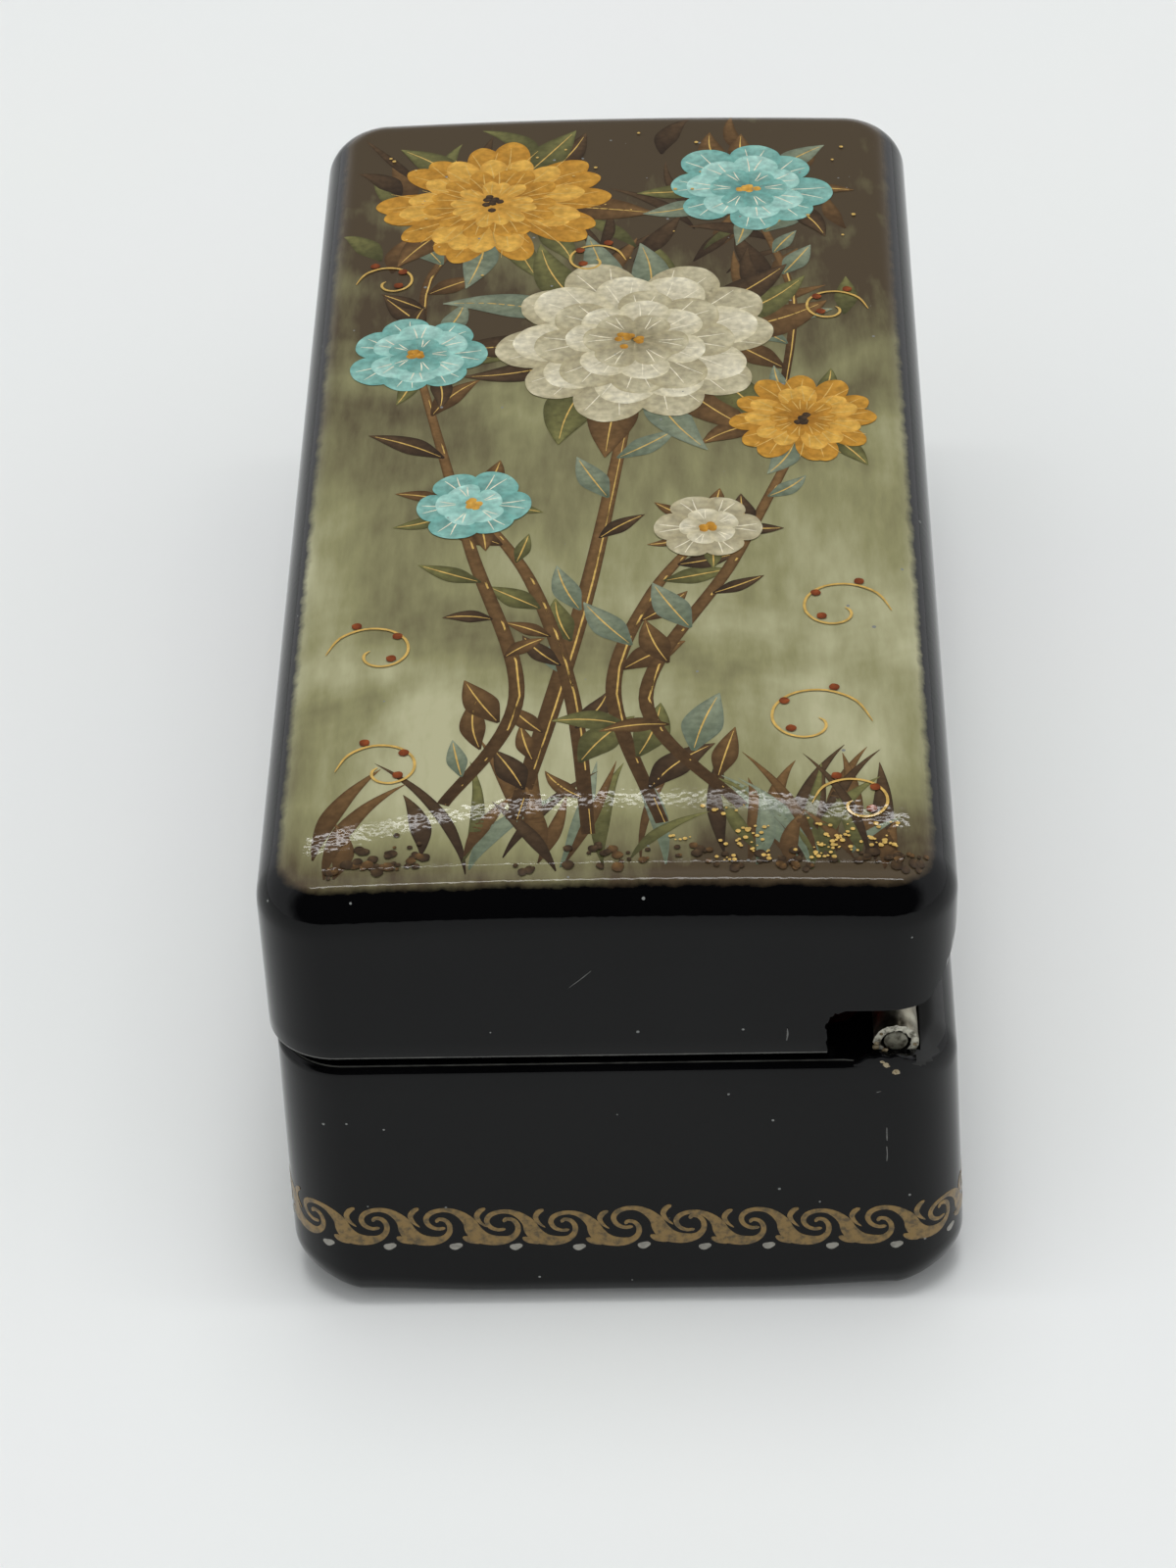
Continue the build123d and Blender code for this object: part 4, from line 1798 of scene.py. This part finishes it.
    def hair(self, points: Sequence[Point2], half: float, tone: Palette) -> None:
        """Lay a fine line with thinning ends.

        Args:
            points: points of the line.
            half: half its width.
            tone: its colours.
        """
        last = len(points) - 1
        path = [(*place, half * (0.35 if i in (0, last) else 1.0)) for i, place in enumerate(points)]
        self.ribbon(path, tone, columns=1)

    def blot(self, x: float, y: float, radius: float, tone: Palette) -> None:
        """Lay a small round touch of the brush.

        Args:
            x: place across.
            y: place along.
            radius: its radius.
            tone: its colours.
        """
        dx, dy = polar((0.0, 0.0), self.rng.uniform(0, math.pi), radius)
        path = [(x + dx * at, y + dy * at, radius * size) for at, size in BLOT]
        self.ribbon(path, tone, columns=2, steps=2)

    def _blade(self, bed: Bed, root: Point2, tone: Palette) -> None:
        """Lay one leaf of a bed.

        Args:
            bed: the bed.
            root: lower end of the leaf.
            tone: its colours.
        """
        draw = self.rng.uniform
        self.frond(root, draw(*bed.heading), draw(*bed.length), draw(*bed.width), tone, LEAF,
                   draw(*self.blade_bend))

    def _thicket(self) -> None:
        """Dim grasses and leaves behind the spray, densest at the far end and along the near edge."""
        draw, choose = self.rng.uniform, self.rng.choice
        for _ in range(self.far_bed.count):
            root = (draw(*self.far_bed.x), draw(*self.far_bed.y))
            self._blade(self.far_bed, root, choose(self.far_bed.tones))
        for _ in range(self.near_bed.count):
            x, tone = draw(*self.near_bed.x), choose(self.near_bed.tones)
            self._blade(self.near_bed, (x, draw(*self.near_bed.y)), tone)

    def _stems(self) -> None:
        """Stems, each with a light side line and narrow leaves in pairs."""
        draw, choose = self.rng.uniform, self.rng.choice
        for stem in self.stems:
            self.ribbon(stem, Palette.BROWN, steps=self.stem_steps)
            shine = [(x + half * self.stem_line_aside, y) for x, y, half in stem]
            self.hair(shine, self.stem_line, Palette.GOLD)
            for (ax, ay, _), (bx, by, _) in zip(stem, stem[1:]):
                way = math.atan2(by - ay, bx - ax)
                for share in self.leaf_shares:
                    root = (ax + (bx - ax) * share, ay + (by - ay) * share)
                    side, tone = choose((-1, 1)), choose(self.stem_tones)
                    self._leaf(root, way + side * draw(*self.leaf_spread), draw(*self.leaf_length), tone)

    def _leaf(self, root: Point2, angle: float, length: float, tone: Palette) -> None:
        """Lay a leaf with a gold vein.

        Args:
            root: its lower end.
            angle: direction at the root, in radians.
            length: its length.
            tone: its colours.
        """
        bend = self.rng.uniform(*self.leaf_bend)
        self.frond(root, angle, length, length * self.rng.uniform(*self.leaf_width), tone, LEAF, bend)
        self.hair(spine(root, angle, length, bend, self.vein_shares), self.vein, Palette.GOLD)

    def _wreath(self, bloom: Bloom) -> None:
        """Leaves that show from under a flower head.

        Args:
            bloom: the flower head.
        """
        count = round(bloom.radius * self.wreath_density)
        for i in range(count):
            angle = 2 * math.pi * i / count + self.rng.uniform(*self.wreath_turn)
            root = polar(bloom.place, angle, bloom.radius * self.wreath_root)
            reach = bloom.radius * self.rng.uniform(*self.wreath_reach)
            tip_x, tip_y = polar(root, angle, reach)
            if abs(tip_x) < self.leaf_limits[0] and tip_y < self.leaf_limits[1]:
                self._leaf(root, angle, reach, self.rng.choice(self.wreath_tones))

    def _bloom(self, bloom: Bloom) -> None:
        """Paint a flower head: rings of petals with fine lines, and a dotted heart.

        Args:
            bloom: the flower head.
        """
        draw = self.rng.uniform
        for ring in range(bloom.rings):
            length = bloom.radius * (1 - self.ring_shrink * ring / bloom.rings)
            count = max(bloom.petals - ring, self.least_petals)
            odd = ring % 2
            for i in range(count):
                angle = 2 * math.pi * (i + 0.5 * odd) / count + draw(*self.petal_turn)
                size = length * draw(*self.petal_length)
                root = polar(bloom.place, angle, size * self.petal_root)
                width = 2 * math.pi * size / count * self.petal_width
                self.frond(root, angle, size, width, bloom.tones[odd], PETAL, draw(*self.petal_bend))
                for turn in self.petal_line_turns:
                    line = spine(root, angle, size, turn, self.petal_line_shares)
                    self.hair(line, self.petal_line, bloom.tones[2])
        for _ in range(self.heart_dots):
            place = polar(bloom.place, draw(0, 2 * math.pi), draw(0, bloom.radius * self.heart_share))
            self.blot(*place, self.heart_dot, bloom.heart)

    def _tendrils(self) -> None:
        """Gold curls with rust berries beside the spray."""
        for x, y, size, way in self.curls:
            turns = [polar((0.0, -size), step * self.curl_turn, size * (1 - step / (self.curl_steps + 1)))
                     for step in range(self.curl_steps)]
            curl = [(x + way * dx, y + dy) for dx, dy in turns]
            self.hair(curl, self.curl_line, Palette.GOLD)
            for px, py in curl[2:7:2]:
                self.blot(px + way * self.berry_shift[0], py + self.berry_shift[1], self.berry, Palette.RUST)

    def _speckles(self) -> None:
        """Gold dust and touches of umber, thickest along the near edge, and a little in the far dusk."""
        draw, gauss = self.rng.uniform, self.rng.gauss
        for spatter in self.spatters:
            for _ in range(spatter.clusters):
                x, y = draw(*spatter.x), self.near_edge + abs(gauss(0, spatter.depth))
                for _ in range(spatter.touches):
                    px, py = x + gauss(0, spatter.scatter[0]), y + abs(gauss(0, spatter.scatter[1]))
                    size = draw(*spatter.size)
                    tone = self.rng.choice(spatter.tones) if len(spatter.tones) > 1 else spatter.tones[0]
                    self.blot(px, py, size, tone)
        across, along = self.dust_field
        for _ in range(self.dust_count):
            self.blot(draw(*across), draw(*along), draw(*self.dust_size), Palette.GOLD)


@dataclass(frozen=True)
class Cone:
    """Part of the surroundings: way to its middle, cosines of its rim and of its even part, and level."""

    aim: Point3
    rim: float
    even: float
    level: float


@dataclass(frozen=True)
class Tube:
    """Ceiling tube over the middle line of the table: place, power in watts, length and width."""

    y: float
    z: float
    power: float
    length: float
    width: float


@dataclass
class Studio:
    """Pale table, soft surrounding light and the camera."""

    floor_half: float = 1500.0
    sky_colour: str = "#fbfdff"
    camera_mm: Point3 = (6.811, -260.107, 214.096)
    pitch: float = 0.674436
    yaw: float = -0.034986
    roll: float = 0.037405
    lens_px: float = 4880.0
    picture_height_px: int = 1600
    sensor_mm: float = 36.0
    clip_start: float = 0.01
    backdrop: float = 0.8
    fill: Point2 = (0.72, 0.1)
    fill_depth: Point2 = (-0.3, 0.6)
    dark_sides: Tuple[Cone, Cone] = (Cone((0.0, -0.83, 0.56), 0.35, 0.7, 0.02),
                                     Cone((0.0, 0.8, 0.6), 0.78, 0.95, 0.3))
    lit_cones: Tuple[Cone, ...] = (Cone((0.0, -0.07, 0.9975), 0.975, 0.992, 5.7),
                                   Cone((0.0, 0.26, 0.966), 0.96, 0.985, 2.8))
    tubes: Tuple[Tube, ...] = (Tube(-50.0, 700.0, 0.9, 600.0, 35.0), Tube(560.0, 609.0, 0.14, 270.0, 10.0))

    def build(self) -> None:
        """Set the scene up."""
        bpy.context.scene.view_settings.view_transform = "Standard"
        self._floor()
        self._world()
        self._tubes()
        self._camera()

    def _floor(self) -> None:
        """Plain table top."""
        bm = bmesh.new()
        bmesh.ops.create_grid(bm, x_segments=2, y_segments=2, size=self.floor_half * MM)
        floor = mesh_object("table_top", bm, Finish.TABLE)

    def _world(self) -> None:
        """Light from overhead, mirrored as white surroundings that fall dark behind the camera."""
        world = bpy.data.worlds.new("white_tent")
        bpy.context.scene.world = world
        world.use_nodes = True
        nodes = Nodes(world.node_tree)
        way = nodes.add("ShaderNodeTexCoord", out="Generated")

        def inside(cone: Cone, outside: float) -> Socket:
            """The cone's level in its even part, falling to another level at its rim."""
            facing = nodes.vector("DOT_PRODUCT", {0: way, 1: cone.aim}, "Value")
            return nodes.remap(facing, (cone.rim, cone.even), (outside, cone.level), smooth=True)

        seen = nodes.calc("MULTIPLY", *(inside(cone, 1.0) for cone in self.dark_sides))
        cast = nodes.remap(nodes.axes(way)["Y"], self.fill_depth, self.fill, smooth=True)
        for cone in self.lit_cones:
            cast = nodes.calc("ADD", cast, inside(cone, 0.0))
        ray = nodes.node("ShaderNodeLightPath").outputs
        level = nodes.add("ShaderNodeMix", {0: ray["Is Glossy Ray"], 2: cast, 3: seen})
        shown = nodes.add("ShaderNodeMix", {0: ray["Is Camera Ray"], 2: level, 3: self.backdrop})
        nodes.feed(world.node_tree.nodes["Background"], {"Strength": shown, "Color": self.sky_colour})

    def _tubes(self) -> None:
        """Ceiling tubes, seen as thin lines in the rolled edges."""
        for tube in self.tubes:
            data = bpy.data.lights.new("ceiling_tube", "AREA")
            data.shape = "RECTANGLE"
            data.size, data.size_y = tube.length * MM, tube.width * MM
            data.energy = tube.power
            lamp = link(bpy.data.objects.new("ceiling_tube", data))
            lamp.location = Vector((0.0, tube.y, tube.z)) * MM
            lamp.rotation_euler = (-math.atan2(tube.y, tube.z), 0.0, 0.0)

    def _camera(self) -> None:
        """Camera at the photograph's viewing angle."""
        data = bpy.data.cameras.new("camera")
        data.sensor_fit = "VERTICAL"
        data.sensor_height = self.sensor_mm
        data.lens = self.lens_px / self.picture_height_px * self.sensor_mm
        data.clip_start = self.clip_start
        forward = Vector((math.sin(self.yaw) * math.cos(self.pitch),
                          math.cos(self.yaw) * math.cos(self.pitch), -math.sin(self.pitch)))
        right = Vector((math.cos(self.yaw), -math.sin(self.yaw), 0.0))
        down = forward.cross(right)
        turned_right = math.cos(self.roll) * right + math.sin(self.roll) * down
        turned_down = -math.sin(self.roll) * right + math.cos(self.roll) * down
        camera = link(bpy.data.objects.new("camera", data))
        turn = Matrix((turned_right, -turned_down, -forward)).transposed()
        camera.matrix_world = Matrix.Translation(Vector(self.camera_mm) * MM) @ turn.to_4x4()
        bpy.context.scene.camera = camera


def main() -> None:
    """Build the table, the light and the camera, and then the box piece by piece."""
    logging.basicConfig(level=logging.INFO, format="%(name)s: %(message)s")
    plan = BoxPlan.from_frame()
    Studio().build()
    pieces = (BaseShell, Collar, LidShell, LidPainting, TinHinge, FillerLip, ScrollBorder, GlueCrumbs, Marks)
    for piece in pieces:
        piece(plan).build()


if __name__ == "__main__":
    main()
